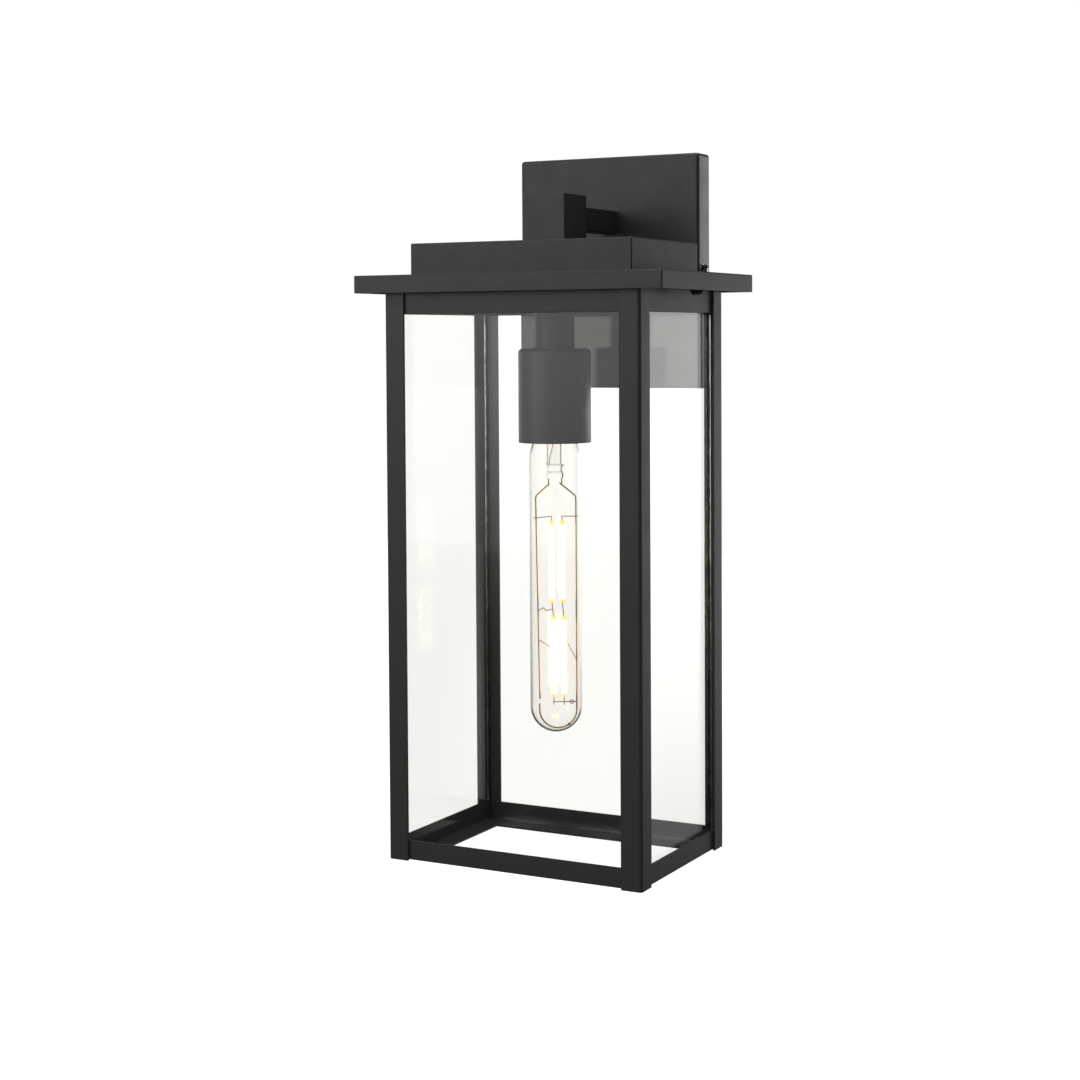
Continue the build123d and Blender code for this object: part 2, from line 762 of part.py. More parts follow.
# Clear tube of the bulb: a neck in the cap, a soft shoulder, a straight tube and a round end
with BuildPart() as bulb_glass:
    with BuildSketch(side_section):
        with BuildLine():
            tube_r = bulb_diameter / 2
            neck_r = neck_diameter / 2
            outer_neck = Line((neck_r, neck_top), (neck_r, neck_bottom))
            shoulder_middle = (neck_bottom + tube_top) / 2
            outer_middle = ((neck_r + tube_r) / 2, shoulder_middle)
            outer_bend = TangentArc(outer_neck @ 1, outer_middle, tangent=(0, -1))
            TangentArc(outer_middle, (tube_r, tube_top), tangent=outer_bend % 1)
            outer_tube = Line((tube_r, tube_top), (tube_r, tube_end))
            outer_end = TangentArc(outer_tube @ 1, (0, bulb_foot), tangent=(0, -1))
            Line(outer_end @ 1, (0, bulb_foot + bulb_wall))
            inner_end = TangentArc(
                (tube_r - bulb_wall, tube_end), (0, bulb_foot + bulb_wall), tangent=(0, -1)
            )
            inner_tube = Line(inner_end @ 0, (tube_r - bulb_wall, tube_top))
            inner_middle = ((neck_r + tube_r) / 2 - bulb_wall, shoulder_middle)
            inner_bend = TangentArc(inner_tube @ 1, inner_middle, tangent=(0, 1))
            TangentArc(inner_middle, (neck_r - bulb_wall, neck_bottom), tangent=inner_bend % 1)
            inner_neck = Line((neck_r - bulb_wall, neck_bottom), (neck_r - bulb_wall, neck_top))
            Line(inner_neck @ 1, outer_neck @ 0)
        make_face()
    revolve(axis=lamp_axis)
bulb_glass.part.label = "bulb_glass"
export_step(bulb_glass.part, "parts/bulb_glass.step")

# Glass mount inside the bulb: a flare sealed to the neck, a hollow flute, and a press round the wires
with BuildPart() as bulb_mount:
    flute_r = flute_diameter / 2
    flute_inner_r = flute_r - flute_wall
    press_r = press_neck_diameter / 2
    flare_r = neck_diameter / 2 - bulb_wall - holder_fit
    flute_top = neck_top - flare_height
    flute_bottom = neck_top - flute_length
    press_bottom = flute_bottom - press_length
    with BuildSketch(side_section):
        with BuildLine():
            TangentArc((flute_r, flute_top), (flare_r, neck_top), tangent=(0, 1))
            Polyline(
                (flute_r, flute_top),
                (flute_r, flute_bottom),
                (press_r, flute_bottom - press_neck_drop),
                (press_r, press_bottom + press_bead_height),
            )
            ThreePointArc(
                (press_r, press_bottom + press_bead_height),
                (press_bead_diameter / 2, press_bottom + press_bead_height / 2),
                (press_r, press_bottom),
            )
            Polyline((press_r, press_bottom), (0, press_bottom), (0, flute_bottom))
            Polyline((0, flute_bottom), (flute_inner_r, flute_bottom), (flute_inner_r, flute_top))
            TangentArc((flute_inner_r, flute_top), (flare_r, neck_top + flute_wall), tangent=(0, 1))
            Line((flare_r, neck_top + flute_wall), (flare_r, neck_top))
        make_face()
    revolve(axis=lamp_axis)
bulb_mount.part.label = "bulb_mount"
export_step(bulb_mount.part, "parts/bulb_mount.step")

# Places along the filaments and on the supports, between the press and the round end of the tube
lower_foot = bulb_length - filament_end_gap
filament_length = (lower_foot - upper_filament_top - filament_space) / 2
upper_foot = upper_filament_top + filament_length
lower_filament_top = upper_foot + filament_space
upper_pin = upper_filament_top - filament_pin
lower_pin = lower_foot + filament_pin
between = upper_foot + filament_space / 2
left_brace_top = lower_filament_top + left_brace_place
right_brace_top = lower_filament_top + right_brace_place
support_foot = bulb_length - support_end_gap
loop_centre = bulb_length - loop_end_gap - loop_radius
loop_right = loop_middle_x + loop_radius
loop_left = loop_middle_x - loop_radius
lean = (support_x - support_foot_x) / (support_foot - support_start)
pin_edge = lead_radius + lead_gap
stick_edge = filament_radius + pin_edge


def left_support_at(depth):
    """How far across the left support wire lies at a depth below the bulb's tip."""
    return lean * (depth - support_start) - support_x


# Support wires: a short one down the left, and one that runs down the right and loops back up.
# Thin wires welded to them reach in to the filaments.
press_end = press_bottom - bulb_tip_z
with BuildPart() as bulb_supports:
    with BuildLine(bulb_plane) as left_path:
        FilletPolyline(
            (-press_wire_x, -left_support_top),
            (-support_x, -support_start),
            (-support_foot_x, -support_foot),
            radius=support_bend,
        )
    with BuildSketch(Plane(origin=left_path.line @ 0, z_dir=left_path.line % 0)):
        Circle(wire_radius)
    sweep(path=left_path.line)
    with BuildLine(bulb_plane) as right_path:
        FilletPolyline(
            (right_spur_x, -right_spur_top),
            (loop_right, -support_start),
            (loop_right, -loop_centre),
            radius=support_bend,
        )
        loop_bottom = (loop_middle_x, -loop_centre - loop_radius)
        ThreePointArc((loop_right, -loop_centre), loop_bottom, (loop_left, -loop_centre))
        Line((loop_left, -loop_centre), (loop_left, loop_rise - loop_centre))
    with BuildSketch(Plane(origin=right_path.line @ 0, z_dir=right_path.line % 0)):
        Circle(wire_radius)
    sweep(path=right_path.line)
    for press_x in (-press_wire_x, press_wire_x):
        run, length = wire_between((press_x, press_end), (press_x, -press_wire_end))
        with BuildSketch(run):
            Circle(wire_radius)
        extrude(amount=length)
    weld_x = loop_middle_x + loop_radius * sin(radians(weld_angle))
    weld_depth = loop_centre + loop_radius * cos(radians(weld_angle))
    with Locations(bulb_plane.from_local_coords(Vector(weld_x, -weld_depth, 0))):
        Sphere(weld_radius)
    upper_left = upper_filament_shift - filament_x
    upper_right = upper_filament_shift + filament_x
    lower_left = lower_filament_shift - filament_x
    lower_right = lower_filament_shift + filament_x
    left_end = left_support_at(upper_pin) - cross_wire_overhang
    right_end = loop_right + cross_wire_overhang
    left_brace_foot = left_brace_top + left_brace_drop
    right_brace_foot = right_brace_top + right_brace_drop
    thin_runs = (
        ((left_end, -upper_pin - left_cross_drop), (upper_left - pin_edge, -upper_pin)),
        ((right_end, -upper_pin), (upper_right + pin_edge, -upper_pin)),
        ((left_support_at(left_brace_top), -left_brace_top), (lower_left - stick_edge, -left_brace_foot)),
        ((loop_right, -right_brace_foot), (lower_right + stick_edge, -right_brace_top)),
    )
    for start, end in thin_runs:
        run, length = wire_between(start, end)
        with BuildSketch(run):
            Circle(lead_radius)
        extrude(amount=length)
    tie_low = between + tie_kink / 2
    tie_high = between - tie_kink / 2
    with BuildLine(bulb_plane) as tie_path:
        FilletPolyline(
            (left_support_at(tie_low), -tie_low),
            (-tie_kink_x, -tie_high),
            (tie_kink_step - tie_kink_x, -tie_low),
            ((upper_left + lower_left) / 2 - pin_edge, -between),
            radius=thin_bend,
        )
    with BuildSketch(Plane(origin=tie_path.line @ 0, z_dir=tie_path.line % 0)):
        Circle(lead_radius)
    sweep(path=tie_path.line)
bulb_supports.part.label = "bulb_supports"
export_step(bulb_supports.part, "parts/bulb_supports.step")

# Filaments: an upper and a lower pair of sticks
with BuildPart() as bulb_filaments:
    for stick_x, top in (
        (upper_left, upper_filament_top),
        (upper_right, upper_filament_top),
        (lower_left, lower_filament_top),
        (lower_right, lower_filament_top),
    ):
        stick, length = wire_between((stick_x, -top), (stick_x, -top - filament_length))
        with BuildSketch(stick):
            Circle(filament_radius)
        extrude(amount=length)
bulb_filaments.part.label = "bulb_filaments"
export_step(bulb_filaments.part, "parts/bulb_filaments.step")

# Leads: pins on the ends of the filaments, the link under them with its ring, and the wires in the flute
pin_top = upper_pin - lead_radius
pin_bottom = lower_pin + filament_pin_tail
lead_top = neck_top - bulb_tip_z
lead_bottom = flute_bottom - bulb_tip_z + lead_gap
with BuildPart() as bulb_leads:
    lead_runs = (
        ((upper_left, -upper_filament_top), (upper_left, -pin_top)),
        ((upper_right, -upper_filament_top), (upper_right, -pin_top)),
        ((upper_left, -upper_foot), (lower_left, -lower_filament_top)),
        ((upper_right, -upper_foot), (lower_right, -lower_filament_top)),
        ((lower_left, -lower_foot), (lower_left, -pin_bottom)),
        ((lower_right, -lower_foot), (lower_right, -pin_bottom)),
        ((lower_left, -lower_pin), (loop_right - wire_radius - lead_gap, -lower_pin)),
        ((inner_lead_x, lead_top), (inner_lead_x, lead_bottom)),
    )
    for start, end in lead_runs:
        run, length = wire_between(start, end)
        with BuildSketch(run):
            Circle(lead_radius)
        extrude(amount=length)
    with BuildLine(bulb_plane) as inner_path:
        FilletPolyline(
            (-inner_lead_top_x, lead_top),
            (-inner_lead_top_x, -inner_lead_bend),
            (-inner_lead_x, -inner_lead_bend - inner_lead_slant),
            (-inner_lead_x, lead_bottom),
            radius=thin_bend,
        )
    with BuildSketch(Plane(origin=inner_path.line @ 0, z_dir=inner_path.line % 0)):
        Circle(lead_radius)
    sweep(path=inner_path.line)
    ring_centre = bulb_plane.from_local_coords(Vector(ring_x, -lower_pin, 0))
    with BuildSketch(Plane(origin=ring_centre, x_dir=bulb_right, z_dir=(0, 0, 1))):
        with Locations((ring_radius, 0)):
            Circle(lead_radius)
    revolve(axis=Axis(ring_centre, bulb_plane.z_dir))
bulb_leads.part.label = "bulb_leads"
export_step(bulb_leads.part, "parts/bulb_leads.step")
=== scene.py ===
import json
from math import cos, radians, sin, tau

import bmesh
import bpy
from mathutils import Matrix, Vector, noise


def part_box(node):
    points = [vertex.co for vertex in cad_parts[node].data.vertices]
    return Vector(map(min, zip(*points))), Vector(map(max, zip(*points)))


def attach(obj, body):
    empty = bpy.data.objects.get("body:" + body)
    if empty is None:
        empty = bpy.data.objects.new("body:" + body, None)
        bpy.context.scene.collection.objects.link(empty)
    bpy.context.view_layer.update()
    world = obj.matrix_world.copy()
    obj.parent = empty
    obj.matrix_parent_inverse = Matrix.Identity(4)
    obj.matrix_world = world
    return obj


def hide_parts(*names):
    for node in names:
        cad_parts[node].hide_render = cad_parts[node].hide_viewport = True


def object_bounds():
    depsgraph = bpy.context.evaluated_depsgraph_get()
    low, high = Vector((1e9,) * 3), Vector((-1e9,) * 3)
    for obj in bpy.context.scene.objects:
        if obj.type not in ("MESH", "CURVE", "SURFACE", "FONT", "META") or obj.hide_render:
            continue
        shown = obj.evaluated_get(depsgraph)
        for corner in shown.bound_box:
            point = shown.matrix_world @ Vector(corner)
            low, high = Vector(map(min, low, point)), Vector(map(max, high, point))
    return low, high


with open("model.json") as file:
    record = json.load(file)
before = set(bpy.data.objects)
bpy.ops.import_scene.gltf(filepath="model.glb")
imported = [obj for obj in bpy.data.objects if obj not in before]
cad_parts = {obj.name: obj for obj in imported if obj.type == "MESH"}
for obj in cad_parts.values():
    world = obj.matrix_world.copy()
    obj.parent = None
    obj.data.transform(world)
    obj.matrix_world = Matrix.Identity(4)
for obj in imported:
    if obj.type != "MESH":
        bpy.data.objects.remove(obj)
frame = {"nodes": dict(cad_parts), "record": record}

bl_info = {
    "name": "Wall Lantern",
    "version": (1, 0, 0),
    "blender": (4, 5, 0),
    "location": "View3D > Sidebar > Lantern",
    "description": "Dresses the packed wall lantern and sets its studio",
    "category": "Object",
}

MM = 0.001
CAD_BOX = [list(corner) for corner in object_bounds()]

# The camera was fitted to the photograph's edges, with the wall at y = 0
CAMERA_PLACE = Vector((533.997, -1095.085, -40.611)) * MM
CAMERA_YAW = radians(27.685)
CAMERA_PITCH = radians(-2.295)
CAMERA_ROLL = radians(-0.305)
SENSOR_WIDTH = 36.0
PHOTO_PIXELS = 1080
FOCAL_PIXELS = 1975.48
CENTRE_PIXEL = (561.91, 418.99)

# How bright the studio looks in gloss, where white is 1: the sweep behind the lantern, the panel that
# lights its front, and the dim room and floor round them
SWEEP = 1.5
PANEL = 1.0
DIM_ROOM = 0.12
DIM_FLOOR = 0.05
# Where the panel stands, from the lantern
PANEL_WAY = Vector((-0.44, -0.9, 0.3)).normalized()
# What the overexposed backdrop adds to white through glass
OVEREXPOSED = 0.2
# The floor's brightness as a share of the backdrop's, and its half width and its drop under the lantern
# in metres
FLOOR_SHARE = 0.97
FLOOR_HALF = 6.0
FLOOR_DROP = 0.55

# Points as near as this are merged, and points as near to a plane or a line as this lie on it
MERGE = 0.002 * MM
TOUCH = 0.01 * MM
# The least cosine at which a face or an edge counts as pointing along an axis
ALONG = 0.9
# A Mix node has several sockets of one name, so those for colours go by their place
MIX_A, MIX_B, MIX_RESULT = 6, 7, 2

LAMP_LOW, LAMP_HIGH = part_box("lamp_stem")
LAMP_AXIS = (LAMP_LOW + LAMP_HIGH) / 2


def linear(code):
    """An sRGB hex colour as linear red, green, blue and alpha."""
    parts = [int(code[i : i + 2], 16) / 255 for i in (1, 3, 5)]
    return [p / 12.92 if p <= 0.04045 else ((p + 0.055) / 1.055) ** 2.4 for p in parts] + [1.0]


def colour(name, description, code):
    """A colour property with its default from a hex value."""
    return bpy.props.FloatVectorProperty(
        name=name, description=description, subtype="COLOR", size=4, min=0, max=1, default=linear(code)
    )


def length(name, description, millimetres):
    """A length property with its default from a size in millimetres."""
    return bpy.props.FloatProperty(
        name=name, description=description, unit="LENGTH", min=0, default=millimetres * MM
    )


class LanternSizes(bpy.types.PropertyGroup):
    """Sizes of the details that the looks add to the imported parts."""

    sheet: length("Sheet", "Thickness of the folded steel sheet", 1.2)
    plate_corner: length("Plate corner", "Radius of the wall plate's corners", 2.0)
    plate_fold: length("Plate fold", "Radius along the wall plate's folds", 1.8)
    roof_corner: length("Roof corner", "Radius of the roof's corners", 0.8)
    roof_fold: length("Roof fold", "Radius along the roof's folds", 0.7)
    arris: length("Arris", "Softness of a cut steel edge under the coat", 0.25)
    glass_arris: length("Glass arris", "Ground edge of a pane", 0.3)
    angle_corner: length("Angle corner", "Outer radius of the corner angles", 1.8)
    angle_thickness: length("Angle thickness", "Thickness of the corner angles", 1.5)
    tube_wall: length("Tube wall", "Wall of the arm's tube", 1.2)
    tube_corner: length("Tube corner", "Radius of the arm's and the post's edges", 0.8)
    weld_gap: length("Weld gap", "Play round the arm where it goes through the wall plate", 0.05)
    screw_head: length("Screw head", "Height of a thumb screw's head", 3.0)
    screw_shank: length("Screw shank", "Radius of a thumb screw's shank", 2.0)
    seat: length("Seat", "Gap under a thumb nut or screw head, so that it turns free of its washer", 0.02)
    knurl_depth: length("Knurl depth", "Depth of the grooves round a thumb nut or screw head", 0.25)
    knurl_teeth: bpy.props.IntProperty(
        name="Knurl teeth", description="Grooves round a thumb nut or screw head", default=30, min=8
    )
    bead_radius: length("Bead radius", "Radius of the silicone in a corner, where it is widest", 2.2)
    bead_wobble: length("Bead wobble", "How far the silicone wanders from an even bead", 0.9)
    bead_lump: length("Bead lump", "Length of the silicone's slow lumps", 5.0)
    bead_ripple: length("Bead ripple", "Length of the silicone's small ripples", 1.7)
    stem_wall: length("Stem wall", "Wall of the lamp stem's tube", 1.4)
    cup_wall: length("Cup wall", "Wall of the socket cup", 1.0)
    cup_hole: length("Cup hole", "Radius of the hole in the socket cup's top", 5.25)
    cup_fold: length("Cup fold", "Radius round the socket cup's top", 2.6)
    cup_lip: length("Cup lip", "Roundness of the socket cup's rim", 0.3)
    bulb_neck: length("Bulb neck", "Radius of the bulb's neck", 12.6)
    bulb_wall: length("Bulb wall", "Wall of the bulb's glass", 0.9)
    neck_length: length("Neck length", "How far the bulb's neck goes on below the cap", 10.4)
    shoulder: length("Shoulder", "Height over which the bulb's neck widens to the tube", 11.3)
    cap_wall: length("Cap wall", "Wall of the bulb's cap", 0.4)
    thread_pitch: length("Cap thread", "Pitch of the bulb cap's rolled thread", 3.63)
    thread_depth: length("Cap thread depth", "Depth of the bulb cap's rolled thread", 0.6)
    thread_rim: length("Cap rim", "Plain rim below the bulb cap's thread", 3.0)
    thread_end: length("Cap end", "Plain end above the bulb cap's thread", 1.5)


class LanternFinishes(bpy.types.PropertyGroup):
    """Colours of the lantern's finishes."""

    coat_dark: colour("Coat", "Black powder coat", "#2a2a2b")
    coat_light: colour("Coat grain", "Paler grain of the powder coat", "#343435")
    black_zinc: colour("Black zinc", "Black plated thumb screws and nuts", "#333337")
    zinc: colour("Zinc", "Bright zinc plating", "#b4b6b2")
    ground_green: colour("Ground green", "Dyed ground screw", "#2b6b3c")
    pane: colour("Pane", "Clear float glass", "#fefefc")
    silicone: colour("Silicone", "Clear cured silicone", "#d0d0cc")
    # Painted shade: the silicone's darker patches stand in for the dark angle behind the bead and break the
    # bright line along each corner into dashes
    silicone_painted_shade: colour("Silicone painted shade", "Darker silicone: painted shade that breaks the corner line into dashes", "#4a4a48")
    porcelain: colour("Porcelain", "Glazed lampholder", "#e7e3d9")
    brass: colour("Brass", "Contacts and screw shell", "#c29a52")
    cap: colour("Cap", "Rolled bulb cap", "#c4c4c1")
    insulator: colour("Insulator", "Dark glass of the bulb cap", "#101013")
    bulb_glass: colour("Bulb glass", "Clear bulb glass", "#fffefc")
    wire: colour("Wire", "Copper clad support wire", "#dcae52")
    filament: colour("Filament", "Lit filament", "#ffedb8")
    filament_end: colour("Filament end", "Warmer ends of a lit filament", "#ffe08a")
    floor: colour("Floor", "Studio floor", "#f2f2f2")
    floor_shade: colour("Floor shade", "Studio floor as the lantern's underside sees it", "#6a6a6a")


def sizes():
    """The lantern's sizes in this scene."""
    return bpy.context.scene.lantern_sizes


def finishes():
    """The colours of the lantern's finishes in this scene."""
    return bpy.context.scene.lantern_finishes


def add_node(tree, kind, inputs=None, **settings):
    """Adds a node with its settings. An input is given a value, or the socket that feeds it, or a node that
    feeds it from its first output."""
    node = tree.nodes.new(kind)
    for name, value in settings.items():
        setattr(node, name, value)
    for name, value in (inputs or {}).items():
        if isinstance(value, bpy.types.Node):
            value = value.outputs[0]
        if isinstance(value, bpy.types.NodeSocket):
            tree.links.new(value, node.inputs[name])
        else:
            node.inputs[name].default_value = value
    return node


def new_material(name):
    """A material with only its Object coordinates. Returns it, its tree and the coordinates' socket."""
    made = bpy.data.materials.new(name)
    made.use_nodes = True
    tree = made.node_tree
    tree.nodes.clear()
    return made, tree, add_node(tree, "ShaderNodeTexCoord").outputs["Object"]


def powder_coat():
    """Textured black powder coat: baked on, so it has an even fine pebble and a dull, broken sheen."""
    made, tree, place = new_material("textured_black_powder_coat")
    # The real grain is about 0.3 mm, and is drawn at 0.6 mm so that it shows in the render
    grain = add_node(
        tree, "ShaderNodeTexNoise", {"Vector": place, "Scale": 1 / (0.6 * MM), "Detail": 3.0}
    )
    cloud = add_node(tree, "ShaderNodeTexNoise", {"Vector": place, "Scale": 1 / (14 * MM), "Detail": 2.0})
    tone = add_node(tree, "ShaderNodeValToRGB", {"Fac": grain})
    dark, light = tone.color_ramp.elements
    dark.position, dark.color = 0.35, finishes().coat_dark
    light.position, light.color = 0.7, finishes().coat_light
    sheen = add_node(tree, "ShaderNodeMapRange", {"Value": cloud, "To Min": 0.36, "To Max": 0.46})
    relief = add_node(
        tree, "ShaderNodeBump", {"Height": grain, "Strength": 0.15, "Distance": 0.1 * MM}
    )
    shader = add_node(
        tree,
        "ShaderNodeBsdfPrincipled",
        {"Base Color": tone, "Roughness": sheen, "Normal": relief, "IOR": 1.5},
    )
    add_node(tree, "ShaderNodeOutputMaterial", {"Surface": shader})
    return made


def plated(name, base, rough_low, rough_high, grain_mm, metallic=1.0):
    """A drawn, rolled or plated metal with fine patches of duller and brighter skin."""
    made, tree, place = new_material(name)
    grain = add_node(
        tree, "ShaderNodeTexNoise", {"Vector": place, "Scale": 1 / (grain_mm * MM), "Detail": 3.0}
    )
    sheen = add_node(
        tree, "ShaderNodeMapRange", {"Value": grain, "To Min": rough_low, "To Max": rough_high}
    )
    relief = add_node(
        tree, "ShaderNodeBump", {"Height": grain, "Strength": 0.1, "Distance": 0.05 * MM}
    )
    shader = add_node(
        tree,
        "ShaderNodeBsdfPrincipled",
        {"Base Color": base, "Metallic": metallic, "Roughness": sheen, "Normal": relief},
    )
    add_node(tree, "ShaderNodeOutputMaterial", {"Surface": shader})
    return made


def clear_glass(name, base, ior, wave_mm):
    """Clear glass, floated or blown, with a slow wave in its surface. Lamps shine straight through it."""
    made, tree, place = new_material(name)
    wave = add_node(
        tree, "ShaderNodeTexNoise", {"Vector": place, "Scale": 1 / (wave_mm * MM), "Detail": 1.0}
    )
    relief = add_node(
        tree, "ShaderNodeBump", {"Height": wave, "Strength": 0.05, "Distance": 0.02 * MM}
    )
    shader = add_node(
        tree,
        "ShaderNodeBsdfPrincipled",
        {
            "Base Color": base,
            "Roughness": 0.0,
            "IOR": ior,
            "Transmission Weight": 1.0,
            "Normal": relief,
        },
    )
    shadow = add_node(tree, "ShaderNodeLightPath").outputs["Is Shadow Ray"]
    passing = add_node(tree, "ShaderNodeBsdfTransparent", {"Color": base})
    mixed = add_node(tree, "ShaderNodeMixShader", {0: shadow, 1: shader, 2: passing})
    add_node(tree, "ShaderNodeOutputMaterial", {"Surface": mixed})
    return made


def silicone():
    """Clear silicone, laid by hand. It is bonded to the panes, so light passes almost straight on through
    its clear patches. Its darker patches are painted shade: they stand in for the dark angle behind the
    bead and break the bright line along each corner into dashes. The small lumps of its surface glint."""
    made, tree, place = new_material("cured_clear_silicone")
    shade_patches = add_node(tree, "ShaderNodeTexNoise", {"Vector": place, "Scale": 1 / (5 * MM), "Detail": 2.0})
    # Where the noise is low the silicone takes the darker colour, which is painted shade breaking the
    # corner's bright line into dashes
    clear = add_node(
        tree,
        "ShaderNodeMapRange",
        {"Value": shade_patches, "From Min": 0.48, "From Max": 0.58},
        interpolation_type="SMOOTHSTEP",
    )
    tone = add_node(
        tree,
        "ShaderNodeMix",
        {0: clear, MIX_A: finishes().silicone_painted_shade, MIX_B: finishes().silicone},
        data_type="RGBA",
    )
    lumps = add_node(
        tree, "ShaderNodeTexNoise", {"Vector": place, "Scale": 1 / (1.5 * MM), "Detail": 3.0}
    )
    relief = add_node(
        tree, "ShaderNodeBump", {"Height": lumps, "Strength": 0.5, "Distance": 0.3 * MM}
    )
    shader = add_node(
        tree,
        "ShaderNodeBsdfPrincipled",
        {
            "Base Color": tone.outputs[MIX_RESULT],
            "Roughness": 0.05,
            "IOR": 1.03,
            "Transmission Weight": 1.0,
            "Coat Weight": 1.0,
            "Coat Roughness": 0.1,
            "Coat IOR": 1.41,
            "Coat Normal": relief,
        },
    )
    add_node(tree, "ShaderNodeOutputMaterial", {"Surface": shader})
    return made


def glazed_porcelain():
    """Glazed porcelain: near white, with a thin glossy glaze over a faint cloud."""
    made, tree, place = new_material("glazed_porcelain")
    cloud = add_node(tree, "ShaderNodeTexNoise", {"Vector": place, "Scale": 1 / (6 * MM), "Detail": 2.0})
    sheen = add_node(tree, "ShaderNodeMapRange", {"Value": cloud, "To Min": 0.12, "To Max": 0.22})
    shader = add_node(
        tree,
        "ShaderNodeBsdfPrincipled",
        {"Base Color": finishes().porcelain, "Roughness": sheen, "Coat Weight": 0.4},
    )
    add_node(tree, "ShaderNodeOutputMaterial", {"Surface": shader})
    return made


def dark_glass():
    """Dark pressed glass between the bulb's tip and its cap: black, glossy and a little rippled."""
    made, tree, place = new_material("dark_pressed_glass")
    ripple = add_node(tree, "ShaderNodeTexNoise", {"Vector": place, "Scale": 1 / (2 * MM), "Detail": 2.0})
    relief = add_node(
        tree, "ShaderNodeBump", {"Height": ripple, "Strength": 0.2, "Distance": 0.1 * MM}
    )
    shader = add_node(
        tree,
        "ShaderNodeBsdfPrincipled",
        {"Base Color": finishes().insulator, "Roughness": 0.12, "Normal": relief},
    )
    add_node(tree, "ShaderNodeOutputMaterial", {"Surface": shader})
    return made


def lit_filament():
    """A coated filament stick that burns warm white, and yellower towards its ends and its rim."""
    made, tree, place = new_material("lit_filament_coating")
    ends = add_node(tree, "ShaderNodeAttribute", attribute_name="end_share").outputs["Fac"]
    near_end = add_node(
        tree,
        "ShaderNodeMapRange",
        {"Value": ends, "From Min": 0.84, "From Max": 0.93},
        interpolation_type="SMOOTHSTEP",
    )
    facing = add_node(tree, "ShaderNodeLayerWeight", {"Blend": 0.5}).outputs["Facing"]
    near_rim = add_node(
        tree,
        "ShaderNodeMapRange",
        {"Value": facing, "From Min": 0.4, "From Max": 0.9, "To Max": 0.9},
        interpolation_type="SMOOTHSTEP",
    )
    cool = add_node(tree, "ShaderNodeMath", {0: near_end, 1: near_rim}, operation="MAXIMUM")
    glow = add_node(
        tree,
        "ShaderNodeMix",
        {0: cool, MIX_A: finishes().filament, MIX_B: finishes().filament_end},
        data_type="RGBA",
    ).outputs[MIX_RESULT]
    burn = add_node(tree, "ShaderNodeMapRange", {"Value": cool, "To Min": 8.0, "To Max": 1.0})
    grain = add_node(
        tree, "ShaderNodeTexNoise", {"Vector": place, "Scale": 1 / (0.6 * MM), "Detail": 2.0}
    )
    sheen = add_node(tree, "ShaderNodeMapRange", {"Value": grain, "To Min": 0.5, "To Max": 0.7})
    shader = add_node(
        tree,
        "ShaderNodeBsdfPrincipled",
        {
            "Base Color": glow,
            "Roughness": sheen,
            "Emission Color": glow,
            "Emission Strength": burn,
        },
    )
    add_node(tree, "ShaderNodeOutputMaterial", {"Surface": shader})
    return made


MAKERS = {
    "textured_black_powder_coat": powder_coat,
    # Black passivated zinc is dark, but shiny enough for small sharp glints
    "black_zinc_plate": lambda: plated("black_zinc_plate", finishes().black_zinc, 0.15, 0.28, 1.0, 0.8),
    # Zinc plated in a barrel is pale grey and half dull
    "bright_zinc_plate": lambda: plated("bright_zinc_plate", finishes().zinc, 0.28, 0.5, 1.2),
    # Dye over zinc gives a green metal, duller than the bare plating
    "green_dyed_zinc": lambda: plated("green_dyed_zinc", finishes().ground_green, 0.3, 0.45, 1.0, 0.7),
    # Stamped brass is a warm yellow with soft reflections
    "polished_brass": lambda: plated("polished_brass", finishes().brass, 0.2, 0.35, 1.5),
    # Rolling leaves thin aluminium pale and evenly bright
    "rolled_aluminium": lambda: plated("rolled_aluminium", finishes().cap, 0.22, 0.34, 1.0),
    # Drawn wire under a copper skin looks golden beside lit filaments
    "copper_clad_wire": lambda: plated("copper_clad_wire", finishes().wire, 0.3, 0.42, 0.8),
    # Float glass is flat and almost without colour
    "clear_float_glass": lambda: clear_glass("clear_float_glass", finishes().pane, 1.52, 60),
    # Blown glass has shorter waves. The refractive index is lower than the real one, as the overexposed
    # backdrop hides most of what the thin wall takes away
    "clear_bulb_glass": lambda: clear_glass("clear_bulb_glass", finishes().bulb_glass, 1.32, 12),
    "cured_clear_silicone": silicone,
    "glazed_porcelain": glazed_porcelain,
    "dark_pressed_glass": dark_glass,
    "lit_filament_coating": lit_filament,
}


def finish(name):
    """The material of that name, made on its first use."""
    return bpy.data.materials.get(name) or MAKERS[name]()


def dress(nodes, material):
    """Gives carried-over CAD nodes a procedural material."""
    for node in nodes:
        mesh = frame["nodes"][node].data
        mesh.materials.clear()
        mesh.materials.append(finish(material))


def weighted_normals(mesh, smooth):
    """A normal for each corner, weighted by face area, so that a broad flat face stays flat in its shading
    beside a rounded edge. Faces that meet at more than the smooth angle don't share."""
    around = [[] for _ in mesh.vertices]
    for face in mesh.polygons:
        for v in face.vertices:
            around[v].append(face)
    normals = []
    for face in mesh.polygons:
        for v in face.vertices:
            near = [f for f in around[v] if f.normal.dot(face.normal) > cos(radians(smooth))]
            normals.append(sum((f.normal * f.area for f in near), Vector()).normalized())
    return normals


def keep(bm, name, nodes, material, smooth=32):
    """Turns a bmesh into a finished piece that stands for CAD nodes of one body."""
    mesh = bpy.data.meshes.new(name)
    bm.to_mesh(mesh)
    bm.free()
    mesh.shade_smooth()
    mesh.set_sharp_from_angle(angle=radians(smooth))
    mesh.normals_split_custom_set(weighted_normals(mesh, smooth))
    mesh.materials.append(finish(material))
    piece = bpy.data.objects.new(name, mesh)
    bpy.context.scene.collection.objects.link(piece)
    record = frame["record"]
    body = next(b for b, members in record["behaviour"]["bodies"].items() if nodes[0] in members)
    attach(piece, body)
    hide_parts(*nodes)


